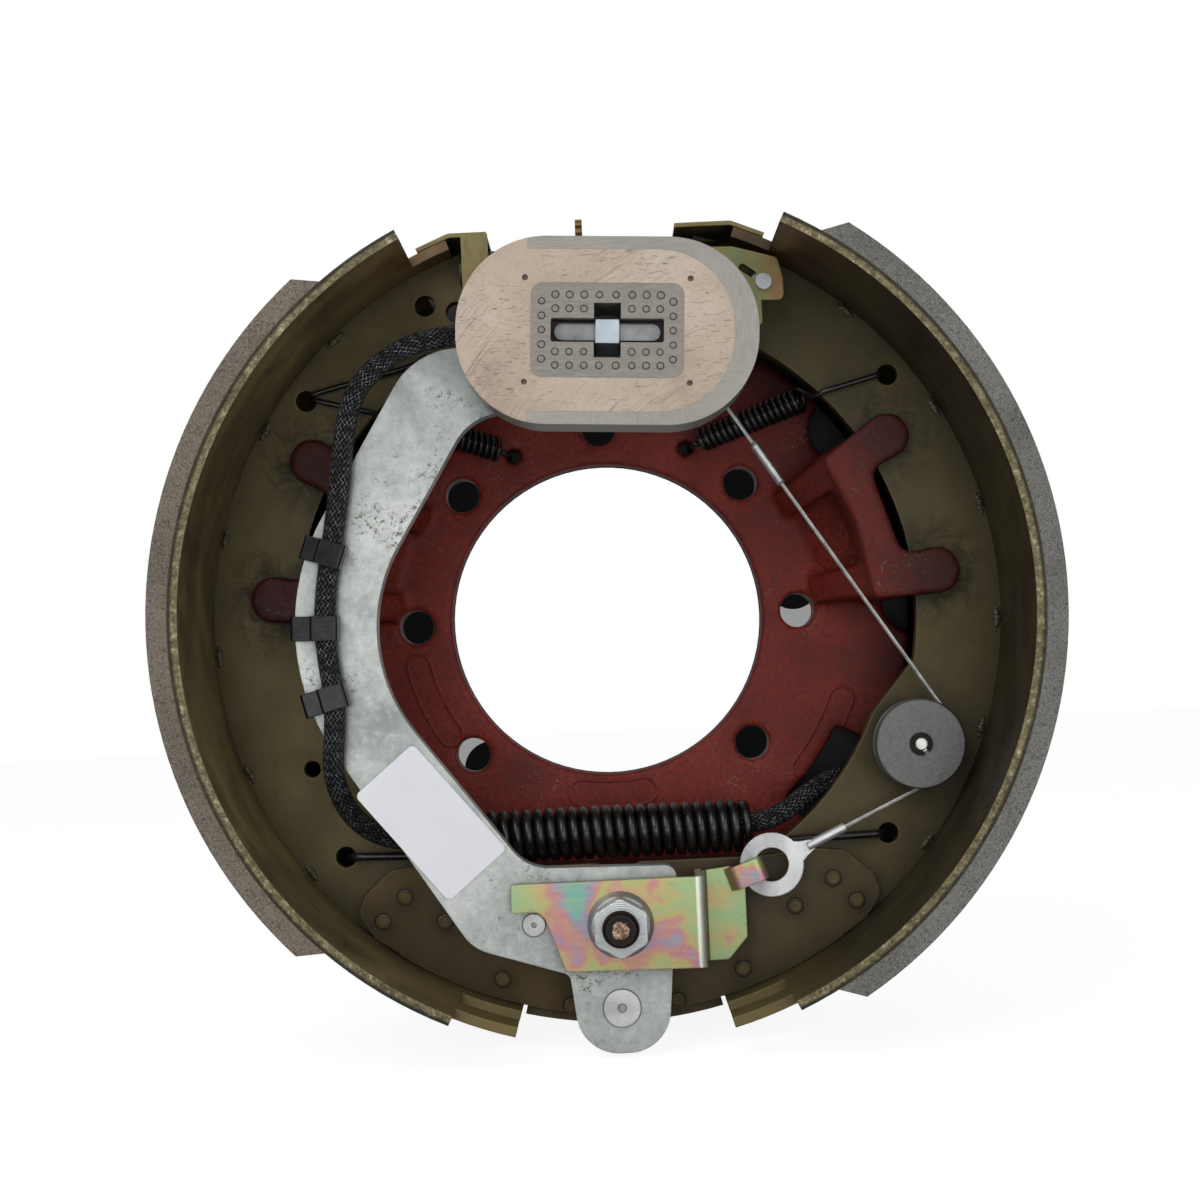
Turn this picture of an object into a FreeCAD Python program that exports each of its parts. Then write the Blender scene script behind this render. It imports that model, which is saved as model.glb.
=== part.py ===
# Self-adjusting electric drum brake for a trailer wheel.
# Millimetres, X to the right, Z up, the drum side faces -Y.
# The origin lies on the bore axis, in the plane of the mounting face.
# A depth is counted back from the front edges of the shoes.

import FreeCAD, Part
import math
import os

V = FreeCAD.Vector

# drum and shoes
DRUM_R = 155.6
RUN_GAP = 1.6
SHOE_W = 127.0
LINING_T = 7.0
TABLE_T = 3.5
WEB_T = 6.0
LINING_R = DRUM_R - RUN_GAP
TABLE_R = LINING_R - LINING_T
TABLE_IN = TABLE_R - TABLE_T
WEB_MID = SHOE_W / 2
WEB_FRONT = WEB_MID - WEB_T / 2
WEB_BACK = WEB_MID + WEB_T / 2
WEB_HIGH_H = 30.5
WEB_LOW_H = 40.5
WEB_IN_HIGH = TABLE_IN - WEB_HIGH_H
WEB_IN_LOW = TABLE_IN - WEB_LOW_H
WEB_STEP = (-10.5, -22.5)
TIP_X = 38.0
SHOE_SPLIT = 3.0
LOBE_X = 5.5
LOBE_GAP = 0.95
TONGUE_W = 35.0
TOP_FULL = 63.5
TOP_TONGUE = 69.3
LOW_FULL = -66.5
LOW_TONGUE = -75.3
SPARE_HOLE = (50.0, 114.0)
SPARE_HOLE_R = 4.0
LOW_SLOT = 16.5
LOW_FOOT = 14.0
SECOND_LINING = (-61.0, 58.0)
PRIMARY_LINING = (-47.9, 51.6)
LINING_CHAMFER = 2.5
DOUBLER_T = 4.0
MARK_R = 2.4
MARK_T = 0.6

# mounting plate
FACE = SHOE_W - 18.5
BORE_R = 59.3
BOLT_CIRCLE = 146.0
BOLT_ANGLE = 43.0
BOLT_HOLE_R = 6.6
PLATE_T = 12.0
PLATE_R = WEB_IN_HIGH + 3
SHIELD_T = 1.5
SHIELD_R = DRUM_R - 2.1
DISH_R = PLATE_R + 7
SHIELD_GAP = 3.0
DISH_DEPTH = SHOE_W + SHIELD_GAP
RIM_H = 5.0
FINGER_R = WEB_IN_HIGH + 7.2
FINGER_END = 9.0
FINGER_NECK = 7.4
RIM_OUT = WEB_IN_HIGH - 4.6
RIM_IN = WEB_IN_HIGH - 16.5
RIB_SPREAD = 7.4
WINDOW_R = 12.8
FINGER_T = 6.0
FINGER_ANGLES = (30.3, 5.4)
GUIDE_GAP = 0.3
SPRING_HOLE = (33.0, 64.0)
SPRING_HOLE_R = 3.0

# magnet
MAGNET_X = 4.6
MAGNET_Z = 94.3
MAGNET_TILT = -3.1
MAGNET_L = 102.0
MAGNET_H = 63.5
MAGNET_END_R = 30.5
MAGNET_T = 22.0
PAD_T = 3.0
PAD_LEFT = -27.0
PAD_RIGHT_WALL = 8.3
PAD_WALL = 4.4
CORE_L = 51.5
CORE_H = 32.0
SLOT_L = 38.0
SLOT_H = 8.0
POST_SLOT_W = 9.0
POST_SLOT_H = 18.4
POST_W = 8.0
POST_TIP = 2.0
CLIP_L = 36.0
CLIP_H = 5.7
CLIP_D = 3.0
CLIP_FRONT = 4.0

# cable and its pulley
CABLE_R = 0.8
CABLE_D = WEB_FRONT - 10.5
PULLEY = (109.6, -50.8)
PULLEY_R = 16.1
PULLEY_W = 11.0
PULLEY_PIN_R = 3.0
GROOVE_R = 14.4
SLEEVE_L = 18.0
EYE = (54.6, -91.2)
EYE_R = 11.3
EYE_HOLE_R = 6.0
EYE_T = 1.8
CRIMP_R = 1.75
EYE_D = CABLE_D - 4

# arm
ARM_T = 8.0
ARM_FRONT = MAGNET_T + 6
RIVETS = ((-30.0, -106.5, 3.9), (-0.8, -136.4, 6.4))
RIVET_PROUD = 0.4
LABEL_W = 49.0
LABEL_H = 27.0
LABEL_T = 0.3
CLIP_T = 0.8
CLIP_W = 8.5

# anchor
ANCHOR_Z = -107.3
ANCHOR_R = 15.0
ANCHOR_GAP = 0.3
SEAT_R = 9.0
STUD_R = 6.0
STUD_OUT = 14.7
SHANK_R = 11.0
BOSS_R = 17.0
BOSS_FRONT = WEB_BACK + 2.5
FIT = 0.05
NUT_AF = 18.0
NUT_FLANGE_R = 11.5
NUT_FLANGE_T = 2.7
NUT_H = 11.2
BRACKET_T = 2.7
BRACKET_FRONT = ARM_FRONT - BRACKET_T - 0.6
PANEL_FRONT = EYE_D + 1.3
HOOK_DIR = 18.6
HOOK_W = 5.5

# wiring loom, from the magnet down the arm and out through the shield
LOOM_R = 2.9
LOOM_LAY = ARM_FRONT - LOOM_R - 0.1
LOOM_EXIT = (108.0, -76.5)
GROMMET_R = 8.0
GROMMET_NECK = 5.5
LOOM_JOIN = (-96.25, LOOM_LAY, -40.5)

# adjuster
AXIS_Z = 129.5
FORK_R = 7.0
FORK_SLOT = WEB_T + 0.3
SLEEVE_R = 6.8
SCREW_R = 4.0
WHEEL_R = 17.0
WHEEL_T = 2.5
WHEEL_X = -3.9
TEETH = 24
LEVER_T = 2.5
LEVER_FRONT = WEB_FRONT - 16.7
LEVER_PIN = (61.5, 116.8)
LEVER_PIN_R = 2.3
LEVER_HEAD_R = 2.9
CABLE_HOLE = (27.5, 103.0)
LEVER_HOOK = (57.5, 104.2)

# sheet strips over the shoe tongues
GUIDE_T = 1.5
STRIP_GAP = 0.44
STRIP_BEND = 2.5
RIGHT_STRIP_END = 30.7
LEFT_STRIP_END = 37.2
LIP_LOW = 129.0
FLAP_LOW = 116.8

# springs
COIL_Z = -78.5
COIL_R = 9.75
COIL_WIRE = 3.0
COIL_HALF = 49.5
COIL_HOOK = (98.6, -83.2)
COIL_HOLE_R = 3.8
PULL_R = 4.9
PULL_WIRE = 2.0
PULL_HOOK = (106.5, 83.8)
PULL_HOLE_R = 3.9

MOUNT_FRONT = FACE - SHIELD_T - PLATE_T
PLATE_BACK = FACE - SHIELD_T
ARM_BACK = ARM_FRONT + ARM_T
RUNNING = 0.05


def at(depth):
    """Y of a depth behind the front edges of the shoes."""
    return depth - FACE


def polar(radius, degrees):
    a = math.radians(degrees)
    return radius * math.cos(a), radius * math.sin(a)


def profile(corners):
    """Flat face in XY from (x, y, corner radius) entries."""
    runs = []
    count = len(corners)
    for i in range(count):
        here = V(corners[i][0], corners[i][1], 0)
        before = V(corners[i - 1][0], corners[i - 1][1], 0) - here
        after = V(corners[(i + 1) % count][0], corners[(i + 1) % count][1], 0) - here
        radius = corners[i][2] if len(corners[i]) > 2 else 0
        if not radius:
            runs.append((here, None, here))
            continue
        before.normalize()
        after.normalize()
        half = before.getAngle(after) / 2
        back = radius / math.tan(half)
        centre = here + (before + after).normalize() * (radius / math.sin(half))
        mid = centre + (here - centre).normalize() * radius
        runs.append((here + before * back, mid, here + after * back))
    edges = []
    for i in range(count):
        start, mid, end = runs[i]
        if mid:
            edges.append(Part.Arc(start, mid, end).toShape())
        following = runs[(i + 1) % count][0]
        if (following - end).Length > 1e-6:
            edges.append(Part.LineSegment(end, following).toShape())
    return Part.Face(Part.Wire(edges))


def upright(face, depth, thick):
    """Stand an XY face up in XZ and give it thickness from a depth backwards."""
    face = face.copy()
    face.rotate(V(0, 0, 0), V(1, 0, 0), 90)
    face.translate(V(0, at(depth), 0))
    return face.extrude(V(0, thick, 0))


def plate(corners, front, back):
    return upright(profile(corners), front, back - front)


def disc(x, z, radius, front, back):
    return Part.makeCylinder(radius, back - front, V(x, at(front), z), V(0, 1, 0))


def sector(r_in, r_out, a0, a1, front, back):
    """Part of a ring between two angles, counted from +X towards +Z."""
    mid = (a0 + a1) / 2
    p = [V(*polar(r, a), 0) for r, a in ((r_out, a0), (r_out, mid), (r_out, a1))]
    q = [V(*polar(r, a), 0) for r, a in ((r_in, a1), (r_in, mid), (r_in, a0))]
    edges = [
        Part.Arc(*p).toShape(),
        Part.LineSegment(p[2], q[0]).toShape(),
        Part.Arc(*q).toShape(),
        Part.LineSegment(q[2], p[0]).toShape(),
    ]
    return upright(Part.Face(Part.Wire(edges)), front, back - front)


def rect(cx, cz, width, height, front, back, radius=0):
    w, h = width / 2, height / 2
    pts = [(cx - w, cz - h), (cx + w, cz - h), (cx + w, cz + h), (cx - w, cz + h)]
    return plate([(x, z, radius) for x, z in pts], front, back)


def spun(points, x, z):
    """Solid of revolution about a Y axis from (radius, depth) points."""
    pts = [V(r, at(d), 0) for r, d in points]
    face = Part.Face(Part.makePolygon(pts + [pts[0]]))
    solid = face.revolve(V(0, 0, 0), V(0, 1, 0), 360)
    solid.translate(V(x, 0, z))
    return solid


def bent(path, thick, radius):
    """Section of a bent sheet: one side follows the path, the bends are rounded."""
    near, far = [], []
    last = len(path) - 1
    for i, (x, y) in enumerate(path):
        ahead = V(path[min(i + 1, last)][0] - path[min(i, last - 1)][0],
                  path[min(i + 1, last)][1] - path[min(i, last - 1)][1], 0)
        behind = V(x - path[max(i - 1, 0)][0], y - path[max(i - 1, 0)][1], 0)
        if i == 0:
            behind = ahead
        ahead.normalize()
        behind.normalize()
        n0 = V(-behind.y, behind.x, 0)
        n1 = V(-ahead.y, ahead.x, 0)
        miter = (n0 + n1) * (thick / (1 + n0.dot(n1)))
        turn = behind.x * ahead.y - behind.y * ahead.x
        ends = i in (0, last)
        near.append((x, y, 0 if ends else (radius if turn < 0 else radius + thick)))
        far.append((x + miter.x, y + miter.y,
                    0 if ends else (radius + thick if turn < 0 else radius)))
    return profile(near + far[::-1])


def bend_points(points):
    """Straight runs and tangent arcs through a list of (x, depth, z) points."""
    p = [V(x, at(d), z) for x, d, z in points]
    pieces = []
    start = p[0]
    for i in range(1, len(p) - 1):
        before = p[i - 1] - p[i]
        after = p[i + 1] - p[i]
        back = 0.45 * min(before.Length, after.Length)
        before.normalize()
        after.normalize()
        first = p[i] + before * back
        half = before.getAngle(after) / 2
        centre = p[i] + (before + after).normalize() * (back / math.cos(half))
        axis = after.cross(before).normalize()
        pieces.append(("run", start, first))
        pieces.append(("arc", first, centre, axis, 180 - math.degrees(2 * half)))
        start = p[i] + after * back
    pieces.append(("run", start, p[-1]))
    return pieces


def bent_arc(first, centre, axis, angle, radius):
    """Bent length of round bar that starts at a point and turns about an axis."""
    along = axis.cross(first - centre)
    disc_face = Part.Face(Part.Wire(Part.makeCircle(radius, first, along)))
    return disc_face.revolve(centre, axis, angle)


def bar(pieces, radius):
    """One solid from straight and bent lengths of the same round bar."""
    solids = []
    for piece in pieces:
        if piece[0] == "run":
            length = (piece[2] - piece[1]).Length
            solids.append(Part.makeCylinder(radius, length, piece[1], piece[2] - piece[1]))
        else:
            solids.append(bent_arc(*piece[1:], radius))
    return solids[0].multiFuse(solids[1:])


def cord(points, radius):
    return bar(bend_points(points), radius)


def rod(start, end, radius, bore=0.0):
    """Round bar between two (x, depth, z) points."""
    a = V(start[0], at(start[1]), start[2])
    b = V(end[0], at(end[1]), end[2])
    solid = Part.makeCylinder(radius, (b - a).Length, a, b - a)
    if bore:
        solid = solid.cut(Part.makeCylinder(bore, (b - a).Length, a, b - a))
    return solid


def mirrored(shape):
    return shape.mirror(V(0, 0, 0), V(1, 0, 0))


def save(shape, name):
    shape.exportStep("parts/" + name + ".step")


# shoes, drawn for the right side and mirrored for the left


def shoe_table():
    """Rolled table with a tongue at its top end and slotted feet at its lower end."""
    table = sector(TABLE_IN, TABLE_R, LOW_TONGUE, TOP_TONGUE, 0, SHOE_W)
    deep = 1.0
    side = (SHOE_W - TONGUE_W) / 2
    for front in (-deep, SHOE_W - side):
        table = table.cut(sector(TABLE_IN - deep, TABLE_R + deep, TOP_FULL, TOP_TONGUE + deep,
                                 front, front + side + deep))
    foot_end = LOW_FOOT + LOW_SLOT - 2.5
    slots = ((-deep, LOW_FOOT), (foot_end, foot_end + LOW_SLOT))
    for front, back in slots:
        for low, high in ((front, back), (SHOE_W - back, SHOE_W - front)):
            table = table.cut(sector(TABLE_IN - deep, TABLE_R + deep, LOW_TONGUE - deep,
                                     LOW_FULL, low, high))
    return table


def shoe_lining(span):
    """Bonded block whose ends slope back from the drum face."""
    a0, a1 = span
    b0, b1 = a0 + LINING_CHAMFER, a1 - LINING_CHAMFER
    outer = [V(*polar(LINING_R, a), 0) for a in (b0, (b0 + b1) / 2, b1)]
    inner = [V(*polar(TABLE_R, a), 0) for a in (a1, (a0 + a1) / 2, a0)]
    edges = [
        Part.Arc(*outer).toShape(),
        Part.LineSegment(outer[2], inner[0]).toShape(),
        Part.Arc(*inner).toShape(),
        Part.LineSegment(inner[2], outer[0]).toShape(),
    ]
    return upright(Part.Face(Part.Wire(edges)), 0, SHOE_W)


def anchor_notch(front, back):
    return disc(0, ANCHOR_Z, ANCHOR_R + ANCHOR_GAP, front, back)


def lobe_top():
    """Upper edge of the shoe end, close under the long spring."""
    return COIL_Z - COIL_R - LOBE_GAP


def shoe_web(pin_hole):
    """Crescent web, narrow above and wide below, seated on the anchor at its foot."""
    web = sector(WEB_IN_HIGH, TABLE_IN, -90, 90, WEB_FRONT, WEB_BACK)
    first, last = WEB_STEP
    web = web.fuse(sector(WEB_IN_LOW, WEB_IN_HIGH + 1, -90, last, WEB_FRONT, WEB_BACK))
    step = [polar(WEB_IN_HIGH, first), polar(WEB_IN_LOW, last), polar(WEB_IN_LOW + 0.2, last - 6),
            polar(WEB_IN_HIGH + 2, last - 6), polar(WEB_IN_HIGH + 2, first)]
    web = web.fuse(plate([(*step[0], 0), (*step[1], 12), *step[2:]], WEB_FRONT, WEB_BACK))
    web = web.fuse(sector(TABLE_IN - 1, TABLE_R, -90, LOW_TONGUE - 0.6, WEB_FRONT, WEB_BACK))
    lobe = [(LOBE_X, -112), (LOBE_X, lobe_top(), 3), (57, lobe_top(), 8), (67.5, -78), (80, -85),
            (70, -112)]
    web = web.fuse(plate(lobe, WEB_FRONT, WEB_BACK))
    web = web.removeSplitter()
    tip = rect(TIP_X - 60, 125, 120, 60, WEB_FRONT - 1, WEB_BACK + 1)
    foot = rect(SHOE_SPLIT / 2 - 30, -125, 60, 60, WEB_FRONT - 1, WEB_BACK + 1)
    web = web.cut(tip).cut(foot).cut(anchor_notch(WEB_FRONT - 1, WEB_BACK + 1))
    holes = (
        (PULL_HOOK[0], PULL_HOOK[1], PULL_HOLE_R),
        (LEVER_PIN[0], LEVER_PIN[1], pin_hole),
        (SPARE_HOLE[0], SPARE_HOLE[1], SPARE_HOLE_R),
        (PULLEY[0], PULLEY[1], PULLEY_PIN_R + FIT),
        (COIL_HOOK[0], COIL_HOOK[1], COIL_HOLE_R),
    )
    for x, z, radius in holes:
        web = web.cut(disc(x, z, radius, WEB_FRONT - 1, WEB_BACK + 1))
    return web


def shoe_doubler():
    """Second plate on the web's anchor end, with its projection weld marks."""
    front = WEB_FRONT - DOUBLER_T
    corners = [
        (SHOE_SPLIT / 2, -101.5), (LOBE_X, -101.5), (LOBE_X, lobe_top(), 3),
        (50, lobe_top(), 10), (71, -87.2, 5), (81.8, -88.4, 6),
        (91.8, -97.2, 5), (94.3, -104, 5), (88.6, -112.6, 3), (80, -118.5),
        (75, -150), (SHOE_SPLIT / 2, -150),
    ]
    body = plate(corners, front, WEB_FRONT)
    body = body.common(disc(0, 0, TABLE_IN - GUIDE_GAP, front, WEB_FRONT))
    body = body.cut(anchor_notch(front - 1, WEB_FRONT + 1))
    marks = ((77.4, -98.2), (63.2, -107.6), (85.6, -106.6), (43.4, -129.2), (19.1, -139.6))
    for x, z in marks:
        body = body.fuse(disc(x, z, MARK_R, front - MARK_T, front))
    return body


def table_strip(end):
    """Sheet strip that lies on the tongue and reaches past it above the adjuster."""
    seat = TABLE_R + STRIP_GAP
    x0, z0 = polar(seat, TOP_FULL + 1.5)
    x1, z1 = polar(seat, TOP_TONGUE + 0.6)
    section = bent([(end, z1), (x1, z1), (x0, z0)], GUIDE_T, STRIP_BEND)
    return upright(section, (SHOE_W - TONGUE_W) / 2, TONGUE_W)


def right_guide():
    return table_strip(RIGHT_STRIP_END)


def left_guide():
    """Strip with a lip at its end and a flap hanging in front of the adjuster."""
    side = (SHOE_W - TONGUE_W) / 2
    strip = table_strip(LEFT_STRIP_END)
    top = strip.BoundBox.ZMax - GUIDE_T / 2
    lip = rect(LEFT_STRIP_END + GUIDE_T / 2, (top + LIP_LOW) / 2, GUIDE_T, top - LIP_LOW,
               side, side + 7)
    flap = rect(LEFT_STRIP_END + 4.4, (top + FLAP_LOW) / 2, 9.6, top - FLAP_LOW,
                side, side + GUIDE_T)
    return mirrored(strip.fuse(lip).fuse(flap).removeSplitter())


# mounting plate, shield and anchor


def bolt_centres():
    radius = BOLT_CIRCLE / 2
    angles = (0, BOLT_ANGLE, 90, 180 - BOLT_ANGLE, 180, 180 + BOLT_ANGLE, -BOLT_ANGLE)
    return [polar(radius, a) for a in angles]


def drilled(shape, front, back):
    """Bore and bolt holes through a plate."""
    shape = shape.cut(disc(0, 0, BORE_R, front - 1, back + 1))
    for x, z in bolt_centres():
        shape = shape.cut(disc(x, z, BOLT_HOLE_R, front - 1, back + 1))
    return shape


def spot(angle, along, aside):
    """Point given along a finger's axis and to the left of it."""
    a = math.radians(angle)
    return (along * math.cos(a) - aside * math.sin(a),
            along * math.sin(a) + aside * math.cos(a))


def island(front, back):
    """Raised rim and the two fingers that grow from it, as one outline."""
    high, low = FINGER_ANGLES
    mid = (high + low) / 2
    tip = FINGER_R + FINGER_END
    end = FINGER_END - 1.1
    corners = [
        (*spot(low, RIM_IN, -FINGER_NECK), 3),
        (*spot(low, tip, -FINGER_END), end),
        (*spot(low, tip, FINGER_END), end),
        (*spot(low, RIM_OUT + 1, FINGER_NECK), 5),
        polar(RIM_OUT, mid),
        (*spot(high, RIM_OUT + 1, -FINGER_NECK), 5),
        (*spot(high, tip, -FINGER_END), end),
        (*spot(high, tip, FINGER_END), end),
        (*spot(high, RIM_IN, FINGER_NECK - 2), 3),
        polar(RIM_IN, mid),
    ]
    return plate(corners, front, back)


def ramp(low, high, crest, angle, spread):
    """Slope that climbs from the flange at one radius to a crest depth at another."""
    base = MOUNT_FRONT + 1
    section = profile([(low, at(MOUNT_FRONT)), (high, at(crest)), (high, at(base)), (low, at(base))])
    body = section.revolve(V(0, 0, 0), V(0, 1, 0), -spread)
    body.rotate(V(0, 0, 0), V(0, 1, 0), -angle)
    return body


def guide_half():
    """Fingers over the shoe web, the rim and ramps that carry them, a ledge behind the web."""
    front = WEB_FRONT - GUIDE_GAP - FINGER_T
    root = island(front + 1, MOUNT_FRONT + 1)
    root = root.common(disc(0, 0, RIM_OUT, front, MOUNT_FRONT + 1))
    body = island(front, front + FINGER_T).fuse(root)
    high, low = FINGER_ANGLES
    body = body.fuse(ramp(RIM_IN - 16, RIM_IN + 1, MOUNT_FRONT - 16, low, high - low))
    for angle in FINGER_ANGLES:
        body = body.fuse(ramp(RIM_IN - 19, RIM_IN + 1, front + 1.5, angle - RIB_SPREAD / 2, RIB_SPREAD))
        ledge = rect((RIM_IN + FINGER_R) / 2, 0, FINGER_R - RIM_IN, 2 * FINGER_NECK - 0.6,
                     WEB_BACK + GUIDE_GAP, PLATE_BACK - 2)
        ledge.rotate(V(0, 0, 0), V(0, 1, 0), -angle)
        body = body.fuse(ledge)
    return body


def plate_windows():
    """Openings in one half of the flange, near the shoe web's inner edge."""
    front, back = MOUNT_FRONT - 1, PLATE_BACK + 1
    gaps = [
        disc(*polar(WEB_IN_HIGH + 3.5, 36), WINDOW_R + 0.6, front, back),
        disc(*polar(WEB_IN_HIGH + 5.2, 1), WINDOW_R, front, back),
        sector(RIM_OUT, PLATE_R + 5, 10, 26, front, back),
        sector(WEB_IN_HIGH - 16.5, PLATE_R + 5, -48, -27.5, front, back),
    ]
    return gaps


def backing_plate():
    """Cast plate with a bolt flange, shoe guide fingers and the anchor boss."""
    body = disc(0, 0, PLATE_R, MOUNT_FRONT, PLATE_BACK)
    for gap in plate_windows():
        body = body.cut(gap).cut(mirrored(gap))
    half = guide_half()
    body = body.fuse(half).fuse(mirrored(half))
    foot = plate([(-40, -95, 4), (-24, -126, 12), (24, -126, 12), (40, -95, 4)],
                 MOUNT_FRONT - 8, PLATE_BACK)
    boss = disc(0, ANCHOR_Z, BOSS_R, BOSS_FRONT, PLATE_BACK)
    body = body.fuse(foot).fuse(boss)
    body = body.cut(disc(0, ANCHOR_Z, SHANK_R + FIT, BOSS_FRONT - 1, PLATE_BACK + 1))
    body = drilled(body, MOUNT_FRONT - 2, PLATE_BACK)
    for side in (-1, 1):
        body = body.cut(disc(side * SPRING_HOLE[0], SPRING_HOLE[1], SPRING_HOLE_R,
                             MOUNT_FRONT - 2, PLATE_BACK + 1))
    return body.removeSplitter()


def dust_shield():
    """Pressed sheet: flat centre, conical step, flat outer band and a turned rim."""
    inner = PLATE_R + 1
    t = SHIELD_T
    section = [
        (BORE_R, PLATE_BACK), (inner, PLATE_BACK), (DISH_R, DISH_DEPTH - t),
        (SHIELD_R, DISH_DEPTH - t), (SHIELD_R, DISH_DEPTH + RIM_H),
        (SHIELD_R - t, DISH_DEPTH + RIM_H), (SHIELD_R - t, DISH_DEPTH),
        (DISH_R - t, DISH_DEPTH), (inner - t, FACE), (BORE_R, FACE),
    ]
    body = spun(section, 0, 0)
    body = drilled(body, PLATE_BACK, FACE)
    return body.cut(disc(LOOM_EXIT[0], LOOM_EXIT[1], GROMMET_NECK, DISH_DEPTH - 5, DISH_DEPTH + 5))


def grommet():
    t = SHIELD_T
    low, high = DISH_DEPTH - t, DISH_DEPTH
    section = [
        (LOOM_R, low - 2.5), (GROMMET_R - 1, low - 2.5), (GROMMET_R, low),
        (GROMMET_NECK, low), (GROMMET_NECK, high), (GROMMET_R, high),
        (GROMMET_R - 1, high + 3), (LOOM_R, high + 3),
    ]
    return spun(section, *LOOM_EXIT)


def anchor_post():
    """Stud, arm seat, shoe pivot and pressed shank in one turned piece."""
    tip = BRACKET_FRONT - STUD_OUT
    section = [
        (0, tip), (STUD_R - 1, tip), (STUD_R, tip + 1),
        (STUD_R, BRACKET_FRONT + BRACKET_T), (SEAT_R, BRACKET_FRONT + BRACKET_T),
        (SEAT_R, ARM_BACK + 0.4), (ANCHOR_R, ARM_BACK + 0.4), (ANCHOR_R, BOSS_FRONT),
        (SHANK_R, BOSS_FRONT), (SHANK_R, PLATE_BACK), (0, PLATE_BACK),
    ]
    return spun(section, 0, ANCHOR_Z)


def anchor_nut():
    """Hexagon nut with a round flange."""
    front = BRACKET_FRONT - NUT_H
    across = NUT_AF / math.cos(math.radians(30)) / 2
    hexagon = plate([polar(across, 60 * i + 90) for i in range(6)], front, BRACKET_FRONT - 1)
    hexagon.translate(V(0, 0, ANCHOR_Z))
    cone = Part.makeCone(across - 0.5, across - 0.5 + NUT_H, NUT_H,
                         V(0, at(front), ANCHOR_Z), V(0, 1, 0))
    flange = Part.makeCone(NUT_FLANGE_R - 1.5, NUT_FLANGE_R, NUT_FLANGE_T,
                           V(0, at(BRACKET_FRONT - NUT_FLANGE_T), ANCHOR_Z), V(0, 1, 0))
    body = hexagon.common(cone).fuse(flange)
    return body.cut(disc(0, ANCHOR_Z, STUD_R + FIT, front - 1, BRACKET_FRONT + 1))


def hook_tab():
    """Narrow strip that jogs forward, passes over the cable eye and turns into it."""
    width = 8.2
    front = EYE_D - EYE_T / 2 - 0.3 - BRACKET_T
    reach = 13.3
    path = [(-5, PANEL_FRONT), (-0.6, PANEL_FRONT), (0.8, front), (reach, front), (reach, 50.5)]
    section = bent(path, BRACKET_T, 0.6)
    tab = section.extrude(V(0, 0, width))
    tab.translate(V(0, -FACE, -width / 2))
    rear = EYE_D - EYE_T / 2 - 0.2
    for side in (-1, 1):
        edge = side * (HOOK_W / 2 + width / 2)
        tab = tab.cut(rect(reach - 1, edge, 6, width, rear, rear + 10))
    tab.rotate(V(0, 0, 0), V(0, 1, 0), -HOOK_DIR)
    tab.translate(V(39.6, 0, -95.9))
    return tab


def anchor_bracket():
    """Stepped sheet bracket held by the anchor nut, with the cable hook on its right."""
    path = [(-38, BRACKET_FRONT), (29.7, BRACKET_FRONT), (29.7, PANEL_FRONT), (46, PANEL_FRONT)]
    section = bent(path, BRACKET_T, 0.8)
    sheet = section.extrude(V(0, 0, 45))
    sheet.translate(V(0, -FACE, -130))
    corners = [
        (-37.4, -92.1, 1), (29, -91.9), (30, -92.4), (39.5, -91.3), (43, -96), (44.9, -99, 1),
        (44.9, -116.5, 1), (38, -124.2, 1), (30.1, -124.4), (29, -123.3), (-19.4, -122.7, 1.5),
        (-25.8, -104.4, 3.5), (-28.4, -101.9, 1.5), (-37.5, -101.8, 1),
    ]
    body = sheet.common(plate(corners, BRACKET_FRONT - 1, PANEL_FRONT + 5))
    body = body.fuse(hook_tab())
    return body.cut(disc(0, ANCHOR_Z, STUD_R + 0.3, BRACKET_FRONT - 1, BRACKET_FRONT + 5))


# arm and what it carries


def actuating_arm():
    """C-shaped forged arm: anchor eye and lobe below, magnet seat above."""
    corners = [
        (27, 115, 18), (-8, 115, 12), (-20, 95.3, 12), (-63, 95.3, 26), (-123.1, -3.5, 79.5),
        (-51.5, -113.8, 16), (-18.3, -124.2, 3), (-15.2, -151.9, 14.8), (14.8, -151.9, 14.8),
        (20.4, -88.0, 4), (-31.5, -87, 16), (-92.4, -6.7, 58), (-44.1, 72, 20), (27, 72, 18),
    ]
    body = plate(corners, ARM_FRONT, ARM_BACK)
    body = body.cut(disc(0, ANCHOR_Z, SEAT_R + RUNNING, ARM_FRONT - 1, ARM_BACK + 1))
    for x, z, radius in RIVETS:
        body = body.cut(disc(x, z, radius, ARM_FRONT - 1, ARM_BACK + 1))
    return body.cut(magnet_place(rect(0, 0, POST_W, POST_W, ARM_FRONT - 1, ARM_BACK + 1)))


def arm_rivets():
    rivets = []
    for x, z, radius in RIVETS:
        rivet = disc(x, z, radius, ARM_FRONT - RIVET_PROUD, ARM_BACK + 1.0)
        rivets.append(rivet.cut(disc(x, z, radius * 0.25, ARM_FRONT - 1, ARM_FRONT + 1)))
    return Part.makeCompound(rivets)


def label():
    """Blank sticker across the arm's lower bend."""
    sticker = rect(0, 0, LABEL_W, LABEL_H, ARM_FRONT - LABEL_T, ARM_FRONT, 2)
    sticker.rotate(V(0, 0, 0), V(0, 1, 0), 50.6)
    sticker.translate(V(-64.2, 0, -69.5))
    return sticker


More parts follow.
